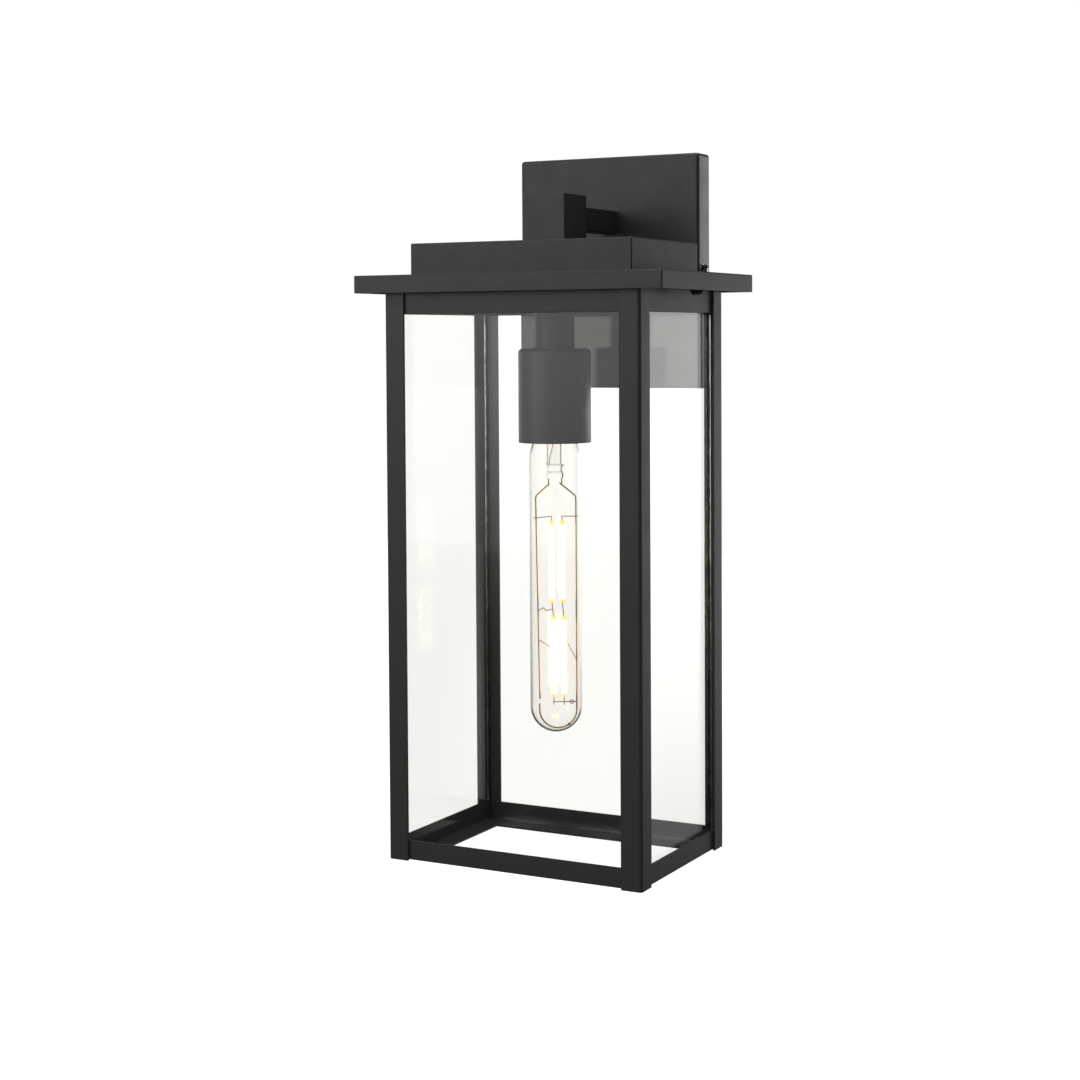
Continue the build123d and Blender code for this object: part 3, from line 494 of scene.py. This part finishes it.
def block(bm, low, high):
    """A box between two corners."""
    made = bmesh.ops.create_cube(bm, size=1.0)["verts"]
    bmesh.ops.scale(bm, vec=Vector(high) - Vector(low), verts=made)
    bmesh.ops.translate(bm, vec=(Vector(low) + Vector(high)) / 2, verts=made)


def soften(bm, edges, width, segments):
    """Rounds edges by a bevel."""
    bmesh.ops.bevel(
        bm,
        geom=list(edges),
        offset=width,
        offset_type="OFFSET",
        affect="EDGES",
        segments=segments,
        profile=0.5,
        material=-1,
        clamp_overlap=True,
    )


def sharp_edges(bm, least):
    """The edges where two faces meet at more than an angle in degrees."""
    return [e for e in bm.edges if len(e.link_faces) == 2 and e.calc_face_angle(0) > radians(least)]


def edges_along(bm, axis):
    """The edges that run along an axis."""
    return [e for e in bm.edges if abs((e.verts[0].co - e.verts[1].co).normalized().dot(axis)) > ALONG]


def prism(bm, corners, along):
    """A bar: a profile of a few corners, drawn out along a vector."""
    face = bm.faces.new([bm.verts.new(c) for c in corners])
    out = bmesh.ops.extrude_face_region(bm, geom=[face], use_keep_orig=True)["geom"]
    bmesh.ops.translate(bm, vec=along, verts=[v for v in out if isinstance(v, bmesh.types.BMVert)])
    bmesh.ops.recalc_face_normals(bm, faces=bm.faces)


def lathe(bm, outline, steps=96, centre=LAMP_AXIS):
    """A shape turned about an upright axis from an outline of (radius, height) points."""
    points = [bm.verts.new((centre.x + r, centre.y, z)) for r, z in outline]
    edges = [bm.edges.new(pair) for pair in zip(points, points[1:])]
    bmesh.ops.spin(
        bm,
        geom=points + edges,
        cent=centre,
        axis=(0, 0, 1),
        angle=tau,
        steps=steps,
        use_merge=True,
    )
    bmesh.ops.remove_doubles(bm, verts=bm.verts, dist=MERGE)
    # An outline that runs along the axis leaves a bare edge there
    bmesh.ops.delete(bm, geom=[e for e in bm.edges if e.is_wire], context="EDGES")
    bmesh.ops.recalc_face_normals(bm, faces=bm.faces)


def arc(middle, radius, start, end, steps):
    """Points on a round stretch of an outline, between two angles in degrees."""
    turn = [radians(start + (end - start) * i / steps) for i in range(steps + 1)]
    return [(middle[0] + radius * cos(a), middle[1] + radius * sin(a)) for a in turn]


def folded_pan(node, open_side, corner, fold):
    """A pan folded from sheet: rounded corners and folds, open on one side."""
    low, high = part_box(node)
    axis = Vector(open_side)
    bm = bmesh.new()
    block(bm, low, high)
    soften(bm, edges_along(bm, axis), corner, segments=5)
    closed = next(f for f in bm.faces if f.normal.dot(axis) < -ALONG)
    soften(bm, closed.edges, fold, segments=4)
    mouth = next(f for f in bm.faces if f.normal.dot(axis) > ALONG)
    bmesh.ops.inset_region(bm, faces=[mouth], thickness=sizes().sheet, use_even_offset=True)
    pocket = bmesh.ops.extrude_discrete_faces(bm, faces=[mouth])["faces"][0]
    depth = abs((high - low).dot(axis)) - sizes().sheet
    bmesh.ops.translate(bm, vec=-axis * depth, verts=pocket.verts)
    open_corner = high if sum(axis) > 0 else low
    rim = [
        e
        for e in sharp_edges(bm, least=70)
        if all(abs((v.co - open_corner).dot(axis)) < TOUCH for v in e.verts)
    ]
    soften(bm, rim, sizes().arris, segments=2)
    return bm


def cut_through(bm, low, high):
    """Cuts a box-shaped hole through a sheet that faces along Y."""
    for place, way in ((low, (1, 0, 0)), (high, (1, 0, 0)), (low, (0, 0, 1)), (high, (0, 0, 1))):
        everything = bm.verts[:] + bm.edges[:] + bm.faces[:]
        bmesh.ops.bisect_plane(bm, geom=everything, plane_co=place, plane_no=way)
    inside = []
    for face in bm.faces:
        middle = face.calc_center_median()
        if abs(face.normal.y) > ALONG and low.x < middle.x < high.x and low.z < middle.z < high.z:
            inside.append(face)
    bridge_through(bm, inside)


def bridge_through(bm, faces):
    """Joins two opposite faces by a passage, and opens both."""
    bmesh.ops.bridge_loops(bm, edges=list({e for f in faces for e in f.edges}))
    bmesh.ops.delete(bm, geom=faces, context="FACES_ONLY")
    bmesh.ops.recalc_face_normals(bm, faces=bm.faces)


# The outline of a thumb head from its seat to its domed end, in steps: how wide each is, as a share of the
# radius, and how much it adds, as a share of the height
THUMB_STEPS = ((1.0, 0.55), (0.93, 0.2), (0.72, 0.16), (0.4, 0.09))


def thumb_piece(node, outward, material):
    """A knurled thumb nut or screw head with a domed end, and a screw's plain shank."""
    low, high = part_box(node)
    middle = (low + high) / 2
    across = [high[i] - low[i] for i in range(3) if not outward[i]]
    radius = across[0] / 2
    reach = abs((high - low).dot(outward))
    outer = middle + outward * reach / 2
    is_screw = "screw" in node
    head = (sizes().screw_head if is_screw else reach) - sizes().seat
    bm = bmesh.new()
    teeth = sizes().knurl_teeth
    ring = bmesh.ops.create_circle(bm, cap_ends=True, segments=2 * teeth, radius=radius)["verts"]
    for i, v in enumerate(ring):
        if i % 2:
            v.co *= 1 - sizes().knurl_depth / radius
    face = bm.faces[:][0]
    for share, tall in THUMB_STEPS:
        face = bmesh.ops.extrude_discrete_faces(bm, faces=[face])["faces"][0]
        bmesh.ops.translate(bm, vec=(0, 0, head * tall), verts=face.verts)
        now = max(Vector((v.co.x, v.co.y, 0)).length for v in face.verts)
        bmesh.ops.scale(bm, vec=(share * radius / now, share * radius / now, 1), verts=face.verts)
    foot = bm.faces.new(ring)
    if is_screw:
        shank = bmesh.ops.extrude_discrete_faces(bm, faces=[foot])["faces"][0]
        for v in shank.verts:
            v.co = v.co.normalized() * sizes().screw_shank
        shank = bmesh.ops.extrude_discrete_faces(bm, faces=[shank])["faces"][0]
        bmesh.ops.translate(bm, vec=(0, 0, -(reach - head)), verts=shank.verts)
    bmesh.ops.recalc_face_normals(bm, faces=bm.faces)
    turn = Vector((0, 0, 1)).rotation_difference(outward).to_matrix().to_4x4()
    bmesh.ops.transform(bm, matrix=turn, verts=bm.verts)
    bmesh.ops.translate(bm, vec=outer - outward * head, verts=bm.verts)
    keep(bm, node + "_knurled", [node], material, smooth=25)


class LANTERN_OT_wall_mount(bpy.types.Operator):
    """Makes the wall plate and its thumb screws, and dresses the bracket behind it"""

    bl_idname = "lantern.wall_mount"
    bl_label = "Wall Mount"

    def execute(self, context):
        plate = folded_pan("wall_plate", (0, 1, 0), sizes().plate_corner, sizes().plate_fold)
        gap = Vector((sizes().weld_gap, 0, sizes().weld_gap))
        arm_low, arm_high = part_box("arm")
        cut_through(plate, arm_low - gap, arm_high + gap)
        keep(plate, "wall_plate_pan", ["wall_plate"], "textured_black_powder_coat")
        for hand, outward in (("left", -1), ("right", 1)):
            thumb_piece(f"side_screw_{hand}", Vector((outward, 0, 0)), "black_zinc_plate")
            dress([f"side_washer_{hand}"], "bright_zinc_plate")
        dress(["mounting_bracket"], "bright_zinc_plate")
        dress(["ground_screw"], "green_dyed_zinc")
        return {"FINISHED"}


class LANTERN_OT_arm(bpy.types.Operator):
    """Makes the arm's tube and the hanger post on the roof"""

    bl_idname = "lantern.arm"
    bl_label = "Arm and Post"

    def execute(self, context):
        low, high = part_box("arm")
        bm = bmesh.new()
        block(bm, low, high)
        soften(bm, edges_along(bm, Vector((0, 1, 0))), sizes().tube_corner, segments=3)
        ends = [f for f in bm.faces if abs(f.normal.y) > ALONG]
        bmesh.ops.inset_region(bm, faces=ends, thickness=sizes().tube_wall, use_even_offset=True)
        bridge_through(bm, ends)
        keep(bm, "arm_tube", ["arm"], "textured_black_powder_coat")

        low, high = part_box("hanger_post")
        bm = bmesh.new()
        block(bm, low, high)
        above_base = [e for e in bm.edges if any(v.co.z - low.z > TOUCH for v in e.verts)]
        soften(bm, above_base, sizes().tube_corner, segments=3)
        keep(bm, "square_post", ["hanger_post"], "textured_black_powder_coat")
        return {"FINISHED"}


class LANTERN_OT_roof(bpy.types.Operator):
    """Makes the roof's crown and pan, and the thumb nuts under its overhang"""

    bl_idname = "lantern.roof"
    bl_label = "Roof"

    def execute(self, context):
        for node in ("roof_crown", "roof_pan"):
            pan = folded_pan(node, (0, 0, -1), sizes().roof_corner, sizes().roof_fold)
            keep(pan, node + "_folded", [node], "textured_black_powder_coat")
        for hand in ("left", "right"):
            thumb_piece(f"roof_nut_{hand}", Vector((0, 0, -1)), "black_zinc_plate")
            dress([f"nut_washer_{hand}"], "bright_zinc_plate")
        dress(["roof_studs"], "bright_zinc_plate")
        return {"FINISHED"}


class LANTERN_OT_cage(bpy.types.Operator):
    """Makes the cage's corner angles and its rails"""

    bl_idname = "lantern.cage"
    bl_label = "Cage"

    def execute(self, context):
        for place in ("front_left", "front_right", "back_left", "back_right"):
            self.corner_angle(place)
        for place in ("front", "back", "left", "right"):
            self.top_strip(place)
            self.bottom_angle(place)
        dress(["cage_top_plate"], "textured_black_powder_coat")
        return {"FINISHED"}

    def corner_angle(self, place):
        """An upright angle, rounded where its two legs meet outside."""
        node = f"corner_post_{place}"
        low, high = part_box(node)
        thick = sizes().angle_thickness
        x_out, x_in = (low.x, high.x) if "left" in place else (high.x, low.x)
        y_out, y_in = (low.y, high.y) if "front" in place else (high.y, low.y)
        dx = thick if x_in > x_out else -thick
        dy = thick if y_in > y_out else -thick
        profile = (
            (x_out, y_out), (x_in, y_out), (x_in, y_out + dy),
            (x_out + dx, y_out + dy), (x_out + dx, y_in), (x_out, y_in),
        )
        bm = bmesh.new()
        prism(bm, [(x, y, low.z) for x, y in profile], (0, 0, high.z - low.z))
        outer = [
            e
            for e in bm.edges
            if all(Vector((v.co.x - x_out, v.co.y - y_out)).length < TOUCH for v in e.verts)
        ]
        soften(bm, outer, sizes().angle_corner, segments=4)
        soften(bm, sharp_edges(bm, least=60), sizes().arris, segments=2)
        keep(bm, node + "_angle", [node], "textured_black_powder_coat")

    def top_strip(self, place):
        """A flat strip along the top of one side."""
        node = f"top_rail_{place}"
        bm = bmesh.new()
        block(bm, *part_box(node))
        soften(bm, bm.edges[:], sizes().arris, segments=2)
        keep(bm, node + "_strip", [node], "textured_black_powder_coat")

    def bottom_angle(self, place):
        """A rail with a flange inwards. At the sides the flange ends at those of the front and back."""
        node = f"bottom_rail_{place}"
        low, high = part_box(node)
        sheet = sizes().sheet
        axis = 1 if place in ("front", "back") else 0
        near, far = low[axis], high[axis]
        face, lip = (near, far) if place in ("front", "left") else (far, near)
        step = sheet if lip > face else -sheet
        bm = bmesh.new()
        if axis == 1:
            profile = (
                (face, low.z), (lip, low.z), (lip, low.z + sheet),
                (face + step, low.z + sheet), (face + step, high.z), (face, high.z),
            )
            prism(bm, [(low.x, y, z) for y, z in profile], (high.x - low.x, 0, 0))
        else:
            front_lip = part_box("bottom_rail_front")[1].y
            back_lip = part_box("bottom_rail_back")[0].y
            flange = sorted((face, lip))
            web = sorted((face, face + step))
            block(bm, (flange[0], front_lip, low.z), (flange[1], back_lip, low.z + sheet))
            block(bm, (web[0], low.y, low.z + sheet), (web[1], high.y, high.z))
        soften(bm, sharp_edges(bm, least=60), sizes().arris, segments=2)
        keep(bm, node + "_angle", [node], "textured_black_powder_coat")


class LANTERN_OT_panes(bpy.types.Operator):
    """Makes the four panes with ground edges, and the silicone in their corners"""

    bl_idname = "lantern.panes"
    bl_label = "Panes"

    # Height of a stretch of bead between two of its rings
    RING_STEP = 2 * MM
    # What sets the corners apart in the noise of the lumps and of the ripples
    LUMP_SPREAD, RIPPLE_SPREAD = (300, 300), (900, 700)
    # Shares of the slow lumps and the small ripples in how the bead wanders, how far it is drawn in on the
    # whole, and the most of its radius that it may lose
    LUMPS, RIPPLES, DRAWN_IN, MOST_LOST = 0.6, 0.4, 0.7, 0.8

    def execute(self, context):
        for place in ("front", "back", "left", "right"):
            node = f"glass_{place}"
            bm = bmesh.new()
            block(bm, *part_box(node))
            soften(bm, bm.edges[:], sizes().glass_arris, segments=1)
            keep(bm, node + "_pane", [node], "clear_float_glass")
        bm = bmesh.new()
        low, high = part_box("corner_beads")
        for x, inward_x in ((low.x, 1), (high.x, -1)):
            for y, inward_y in ((low.y, 1), (high.y, -1)):
                self.bead(bm, Vector((x, y, low.z)), inward_x, inward_y, high.z - low.z)
        keep(bm, "silicone_beads", ["corner_beads"], "cured_clear_silicone")
        return {"FINISHED"}

    def bead(self, bm, corner, inward_x, inward_y, tall):
        """One hand-laid bead: a quarter round up a corner, whose face wanders in and out."""
        radius = sizes().bead_radius
        rings = int(tall / self.RING_STEP)
        verts = [
            bm.verts.new(corner + Vector((inward_x * u, inward_y * v, 0)))
            for u, v in [(0, 0)] + arc((0, 0), radius, 0, 90, 4)
        ]
        face = bm.faces.new(verts)
        rows = [verts]
        for _ in range(rings):
            face = bmesh.ops.extrude_discrete_faces(bm, faces=[face])["faces"][0]
            bmesh.ops.translate(bm, vec=(0, 0, tall / rings), verts=face.verts)
            rows.append(list(face.verts))
        bm.faces.new(verts)
        for row in rows:
            for v in row:
                out = Vector((v.co.x - corner.x, v.co.y - corner.y, 0))
                if out.length > TOUCH:
                    v.co += out.normalized() * self.wander(corner, v.co.z, out.length)
        bmesh.ops.recalc_face_normals(bm, faces=bm.faces)

    def wander(self, corner, height, width):
        """How far the bead's face is drawn in at a height."""
        a, b = self.LUMP_SPREAD
        lump = noise.noise(Vector((corner.x * a, corner.y * b, height / sizes().bead_lump)))
        a, b = self.RIPPLE_SPREAD
        ripple = noise.noise(Vector((corner.y * a, corner.x * b, height / sizes().bead_ripple)))
        change = sizes().bead_wobble * (self.LUMPS * lump + self.RIPPLES * ripple - self.DRAWN_IN)
        return min(0, max(change, -self.MOST_LOST * width))


class LANTERN_OT_socket(bpy.types.Operator):
    """Makes the lamp stem and the socket cup, and dresses the lampholder inside it"""

    bl_idname = "lantern.socket"
    bl_label = "Socket"

    def execute(self, context):
        low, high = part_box("lamp_stem")
        outer = (high.x - low.x) / 2
        inner = outer - sizes().stem_wall
        bm = bmesh.new()
        lathe(bm, [(inner, low.z), (outer, low.z), (outer, high.z), (inner, high.z), (inner, low.z)])
        keep(bm, "stem_tube", ["lamp_stem"], "textured_black_powder_coat")

        low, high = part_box("socket_cup")
        outer = (high.x - low.x) / 2
        wall, hole = sizes().cup_wall, sizes().cup_hole
        fold, lip = sizes().cup_fold, sizes().cup_lip
        outline = [(hole, high.z - wall), (hole, high.z)]
        outline += arc((outer - fold, high.z - fold), fold, 90, 0, 6)
        outline += arc((outer - lip, low.z + lip), lip, 0, -90, 3)
        outline += arc((outer - wall + lip, low.z + lip), lip, -90, -180, 3)
        outline += arc((outer - fold, high.z - fold), fold - wall, 0, 90, 6)
        outline += [(hole, high.z - wall)]
        bm = bmesh.new()
        lathe(bm, outline)
        keep(bm, "cup_shell", ["socket_cup"], "textured_black_powder_coat")

        dress(["lamp_nipple", "lock_washer", "locknut"], "bright_zinc_plate")
        dress(["holder_bridge", "holder_screws"], "bright_zinc_plate")
        dress(["lampholder"], "glazed_porcelain")
        dress(["screw_shell", "centre_contact"], "polished_brass")
        return {"FINISHED"}


class LANTERN_OT_bulb(bpy.types.Operator):
    """Makes the tube bulb: its glass, threaded cap, mount and lit filaments"""

    bl_idname = "lantern.bulb"
    bl_label = "Bulb"

    def execute(self, context):
        self.tube()
        self.cap()
        self.filaments()
        dress(["bulb_tip"], "polished_brass")
        dress(["bulb_insulator"], "dark_pressed_glass")
        dress(["bulb_supports", "bulb_leads"], "copper_clad_wire")
        dress(["bulb_mount"], "clear_bulb_glass")
        return {"FINISHED"}

    def tube(self):
        """The clear tube, blown in one piece with a neck, a soft shoulder and a round end."""
        low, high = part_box("bulb_glass")
        outer = (high.x - low.x) / 2
        neck = sizes().bulb_neck
        neck_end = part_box("bulb_cap")[0].z - sizes().neck_length

        def profile(inset):
            """The outline from the neck down to the round end, inset by the wall for the inside."""
            swell = []
            for t in (i / 10 for i in range(11)):
                radius = neck + (outer - neck) * (3 * t * t - 2 * t**3)
                swell.append((radius - inset, neck_end - sizes().shoulder * t))
            end = arc((0, low.z + outer), outer - inset, 0, -90, 16)
            return [(neck - inset, high.z)] + swell + end

        bm = bmesh.new()
        lathe(bm, profile(0) + profile(sizes().bulb_wall)[::-1] + [(neck, high.z)])
        keep(bm, "tube_glass", ["bulb_glass"], "clear_bulb_glass", smooth=60)

    def cap(self):
        """The rolled cap, with its thread winding down it."""
        low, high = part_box("bulb_cap")
        outer = (high.x - low.x) / 2
        wall = sizes().cap_wall
        pitch = sizes().thread_pitch
        depth = sizes().thread_depth
        rows = 60
        tall = high.z - low.z
        outline = [(outer - depth, high.z - tall * i / rows) for i in range(rows + 1)]
        outline += [(outer - depth - wall, low.z), (outer - depth - wall, high.z), (outer - depth, high.z)]
        bm = bmesh.new()
        lathe(bm, outline, steps=72)
        for v in bm.verts:
            out = Vector((v.co.x - LAMP_AXIS.x, v.co.y - LAMP_AXIS.y, 0))
            rise = v.co.z - low.z
            threaded = sizes().thread_rim < rise < tall - sizes().thread_end
            if threaded and out.length > outer - depth - wall / 2:
                from_axis = Vector((1, 0, 0)).angle(out) * (1 if out.y >= 0 else -1)
                v.co += out.normalized() * depth * (0.5 + 0.5 * cos(tau * rise / pitch - from_axis))
        keep(bm, "cap_thread", ["bulb_cap"], "rolled_aluminium", smooth=60)

    def filaments(self):
        """Coated sticks with rounded ends, which know how near each point is to an end."""
        bm = bmesh.new()
        share = bm.verts.layers.float.new("end_share")
        for low, high in islands("bulb_filaments"):
            middle = (low + high) / 2
            radius = (high.x - low.x) / 2
            stick = high.z - low.z
            cap = arc((0, high.z - radius), radius, 90, 0, 5)
            outline = cap + [(radius, high.z - radius - (stick - 2 * radius) * t / 8) for t in range(1, 8)]
            outline += [(r, low.z + high.z - z) for r, z in reversed(cap)]
            before = set(bm.verts)
            lathe(bm, outline, steps=20, centre=Vector((middle.x, middle.y, 0)))
            for v in bm.verts:
                if v not in before:
                    v[share] = abs((v.co.z - middle.z) / stick * 2)
        keep(bm, "filament_sticks", ["bulb_filaments"], "lit_filament_coating", smooth=60)


def islands(node):
    """The boxes of a node's separate solids, as pairs of corners."""
    bm = bmesh.new()
    bm.from_mesh(frame["nodes"][node].data)
    bmesh.ops.remove_doubles(bm, verts=bm.verts, dist=MERGE)
    left = set(bm.verts)
    boxes = []
    while left:
        todo = [left.pop()]
        group = []
        while todo:
            v = todo.pop()
            group.append(v.co.copy())
            near = {e.other_vert(v) for e in v.link_edges} & left
            left -= near
            todo += near
        boxes.append([Vector(pick(p[i] for p in group) for i in range(3)) for pick in (min, max)])
    bm.free()
    return boxes


class LANTERN_OT_stage(bpy.types.Operator):
    """Sets the floor, the white surround, the lamps and the camera"""

    bl_idname = "lantern.stage"
    bl_label = "Stage"

    def execute(self, context):
        self.floor()
        self.surround(context)
        self.lamps(context)
        self.camera(context)
        context.scene.view_settings.view_transform = "Standard"
        return {"FINISHED"}

    def studio(self, tree, way, dim):
        """How bright the studio looks along a direction. It is white to the camera, and a little over
        white through glass, as an overexposed backdrop is. To gloss and to the lantern it is a white sweep
        behind, a panel in front and a dim room. Returns the rays, whether they see it directly, and the
        level."""
        rays = add_node(tree, "ShaderNodeLightPath").outputs
        bounces = add_node(
            tree, "ShaderNodeMath", {0: rays["Diffuse Depth"], 1: rays["Glossy Depth"]}, operation="ADD"
        )
        seen = add_node(tree, "ShaderNodeMath", {0: bounces, 1: 0.5}, operation="LESS_THAN")
        x, y, z = add_node(tree, "ShaderNodeSeparateXYZ", {"Vector": way}).outputs
        facing = add_node(
            tree, "ShaderNodeVectorMath", {0: way, 1: PANEL_WAY}, operation="DOT_PRODUCT"
        ).outputs["Value"]
        # Each level is a product of ramps: the value that one follows, from where to where in that value,
        # and from which share to which. The sweep rises behind the lantern, ends on the right, and fades
        # below and above the horizon
        sweep = (
            (y, 0.0, 0.7, 0.0, SWEEP),
            (x, 0.44, 0.5, 1.0, 0.1),
            (z, -0.45, -0.03, 0.1, 1.0),
            (z, 0.0, 0.12, 1.0, 0.1),
        )
        # The panel fades off its middle and below the horizon
        panel = ((facing, 0.7, 0.95, 0.0, PANEL), (z, -0.2, 0.05, 0.1, 1.0))
        room = dim
        for ramps in (sweep, panel):
            level = 1.0
            for value, start, end, before, after in ramps:
                eased = add_node(
                    tree,
                    "ShaderNodeMapRange",
                    {"Value": value, "From Min": start, "From Max": end, "To Min": before, "To Max": after},
                    interpolation_type="SMOOTHSTEP",
                )
                level = add_node(tree, "ShaderNodeMath", {0: level, 1: eased}, operation="MULTIPLY")
            room = add_node(tree, "ShaderNodeMath", {0: room, 1: level}, operation="MAXIMUM")
        passed = add_node(
            tree, "ShaderNodeMath", {0: rays["Is Transmission Ray"], 1: OVEREXPOSED}, operation="MULTIPLY"
        )
        backdrop = add_node(tree, "ShaderNodeMath", {0: passed, 1: 1.0}, operation="ADD")
        return rays, seen, add_node(tree, "ShaderNodeMix", {"Factor": seen, "A": room, "B": backdrop})

    def floor(self):
        """A pale floor: white to the camera, and a little more where the lamps reach it, so that the
        lantern's shadow stays."""
        made, tree, place = new_material("pale_studio_floor")
        away = add_node(tree, "ShaderNodeVectorMath", {0: place, 1: LAMP_AXIS}, operation="SUBTRACT")
        way = add_node(tree, "ShaderNodeVectorMath", {0: away}, operation="NORMALIZE").outputs["Vector"]
        rays, seen, level = self.studio(tree, way, DIM_FLOOR)
        tone = add_node(
            tree,
            "ShaderNodeMix",
            {0: seen, MIX_A: finishes().floor_shade, MIX_B: finishes().floor},
            data_type="RGBA",
        )
        plain = add_node(tree, "ShaderNodeBsdfDiffuse", {"Color": tone.outputs[MIX_RESULT]})
        strength = add_node(tree, "ShaderNodeMath", {0: level, 1: FLOOR_SHARE}, operation="MULTIPLY")
        white = add_node(tree, "ShaderNodeEmission", {"Strength": strength})
        both = add_node(tree, "ShaderNodeAddShader", {0: white, 1: plain})
        direct = add_node(tree, "ShaderNodeMixShader", {0: rays["Is Camera Ray"], 1: white, 2: both})
        lit = add_node(tree, "ShaderNodeMixShader", {0: rays["Is Diffuse Ray"], 1: direct, 2: plain})
        add_node(tree, "ShaderNodeOutputMaterial", {"Surface": lit})
        bm = bmesh.new()
        bmesh.ops.create_grid(bm, x_segments=1, y_segments=1, size=FLOOR_HALF)
        bmesh.ops.translate(bm, vec=(0, 0, CAD_BOX[0][2] - FLOOR_DROP), verts=bm.verts)
        mesh = bpy.data.meshes.new("studio_floor")
        bm.to_mesh(mesh)
        bm.free()
        mesh.materials.append(made)
        plane = bpy.data.objects.new("studio_floor", mesh)
        bpy.context.scene.collection.objects.link(plane)

    def surround(self, context):
        """The white world round the lantern."""
        world = bpy.data.worlds.new("white_studio")
        context.scene.world = world
        world.use_nodes = True
        tree = world.node_tree
        tree.nodes.clear()
        way = add_node(tree, "ShaderNodeTexCoord").outputs["Generated"]
        level = self.studio(tree, way, DIM_ROOM)[2]
        sky = add_node(tree, "ShaderNodeBackground", {"Color": (1, 1, 1, 1), "Strength": level})
        add_node(tree, "ShaderNodeOutputWorld", {"Surface": sky})

    def lamps(self, context):
        """Two softboxes, and a strip behind on the right, masked down to the wall plate's right side."""
        middle = LAMP_AXIS + Vector((0, 0, -0.15))
        for name, place, size, watts in (
            ("front_left_softbox", (-0.9, -1.55, 0.3), 0.6, 1.8),
            ("overhead_softbox", (0, -0.085, 1.1), 0.5, 9),
        ):
            lamp = bpy.data.lights.new(name, "AREA")
            lamp.size = size
            lamp.energy = watts
            self.hang(context, lamp, Vector(place), middle)
        low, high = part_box("wall_plate")
        edge = Vector((high.x - 10 * MM, (low.y + high.y) / 2, (low.z + high.z) / 2))
        from_edge = Vector((0.18, 0.41, 0.03))
        strip = bpy.data.lights.new("plate_edge_strip", "AREA")
        strip.shape = "RECTANGLE"
        strip.size = 0.01
        strip.size_y = 0.2
        # The beam is so narrow that a milliwatt is enough
        strip.spread = radians(6)
        strip.energy = 0.001
        self.hang(context, strip, edge + from_edge, edge)

    def hang(self, context, lamp, place, aim):
        """Puts a lamp at a place, turned to what it is aimed at."""
        held = bpy.data.objects.new(lamp.name, lamp)
        held.location = place
        held.rotation_euler = (aim - place).to_track_quat("-Z", "Y").to_euler()
        context.scene.collection.objects.link(held)

    def camera(self, context):
        """The photograph's camera, with the shift of its frame."""
        right = Vector((cos(CAMERA_YAW), sin(CAMERA_YAW), 0))
        level = cos(CAMERA_PITCH)
        forward = Vector((-sin(CAMERA_YAW) * level, cos(CAMERA_YAW) * level, sin(CAMERA_PITCH)))
        up = right.cross(forward)
        rolled_right = right * cos(CAMERA_ROLL) + up * sin(CAMERA_ROLL)
        rolled_up = up * cos(CAMERA_ROLL) - right * sin(CAMERA_ROLL)
        lens = bpy.data.cameras.new("photo_camera")
        lens.sensor_width = SENSOR_WIDTH
        lens.lens = SENSOR_WIDTH * FOCAL_PIXELS / PHOTO_PIXELS
        lens.shift_x = (PHOTO_PIXELS / 2 - CENTRE_PIXEL[0]) / PHOTO_PIXELS
        lens.shift_y = (CENTRE_PIXEL[1] - PHOTO_PIXELS / 2) / PHOTO_PIXELS
        held = bpy.data.objects.new("photo_camera", lens)
        turn = Matrix((rolled_right, rolled_up, -forward)).transposed().to_4x4()
        held.matrix_world = Matrix.Translation(CAMERA_PLACE) @ turn
        context.scene.collection.objects.link(held)
        context.scene.camera = held


OPERATORS = (
    LANTERN_OT_wall_mount,
    LANTERN_OT_arm,
    LANTERN_OT_roof,
    LANTERN_OT_cage,
    LANTERN_OT_panes,
    LANTERN_OT_socket,
    LANTERN_OT_bulb,
    LANTERN_OT_stage,
)


class LANTERN_PT_panel(bpy.types.Panel):
    """Lists the lantern's steps in the sidebar"""

    bl_label = "Wall Lantern"
    bl_idname = "LANTERN_PT_panel"
    bl_space_type = "VIEW_3D"
    bl_region_type = "UI"
    bl_category = "Lantern"

    def draw(self, context):
        for step in OPERATORS:
            self.layout.operator(step.bl_idname)


CLASSES = (LanternSizes, LanternFinishes, *OPERATORS, LANTERN_PT_panel)


def register():
    """Adds the classes, and the lantern's sizes and finishes to the scene."""
    for cls in CLASSES:
        bpy.utils.register_class(cls)
    bpy.types.Scene.lantern_sizes = bpy.props.PointerProperty(type=LanternSizes)
    bpy.types.Scene.lantern_finishes = bpy.props.PointerProperty(type=LanternFinishes)


def unregister():
    """Takes away what register added."""
    del bpy.types.Scene.lantern_finishes
    del bpy.types.Scene.lantern_sizes
    for cls in reversed(CLASSES):
        bpy.utils.unregister_class(cls)


def main():
    """Makes the lantern and its stage."""
    register()
    bpy.ops.lantern.wall_mount()
    bpy.ops.lantern.arm()
    bpy.ops.lantern.roof()
    bpy.ops.lantern.cage()
    bpy.ops.lantern.panes()
    bpy.ops.lantern.socket()
    bpy.ops.lantern.bulb()
    bpy.ops.lantern.stage()


if __name__ == "__main__":
    main()
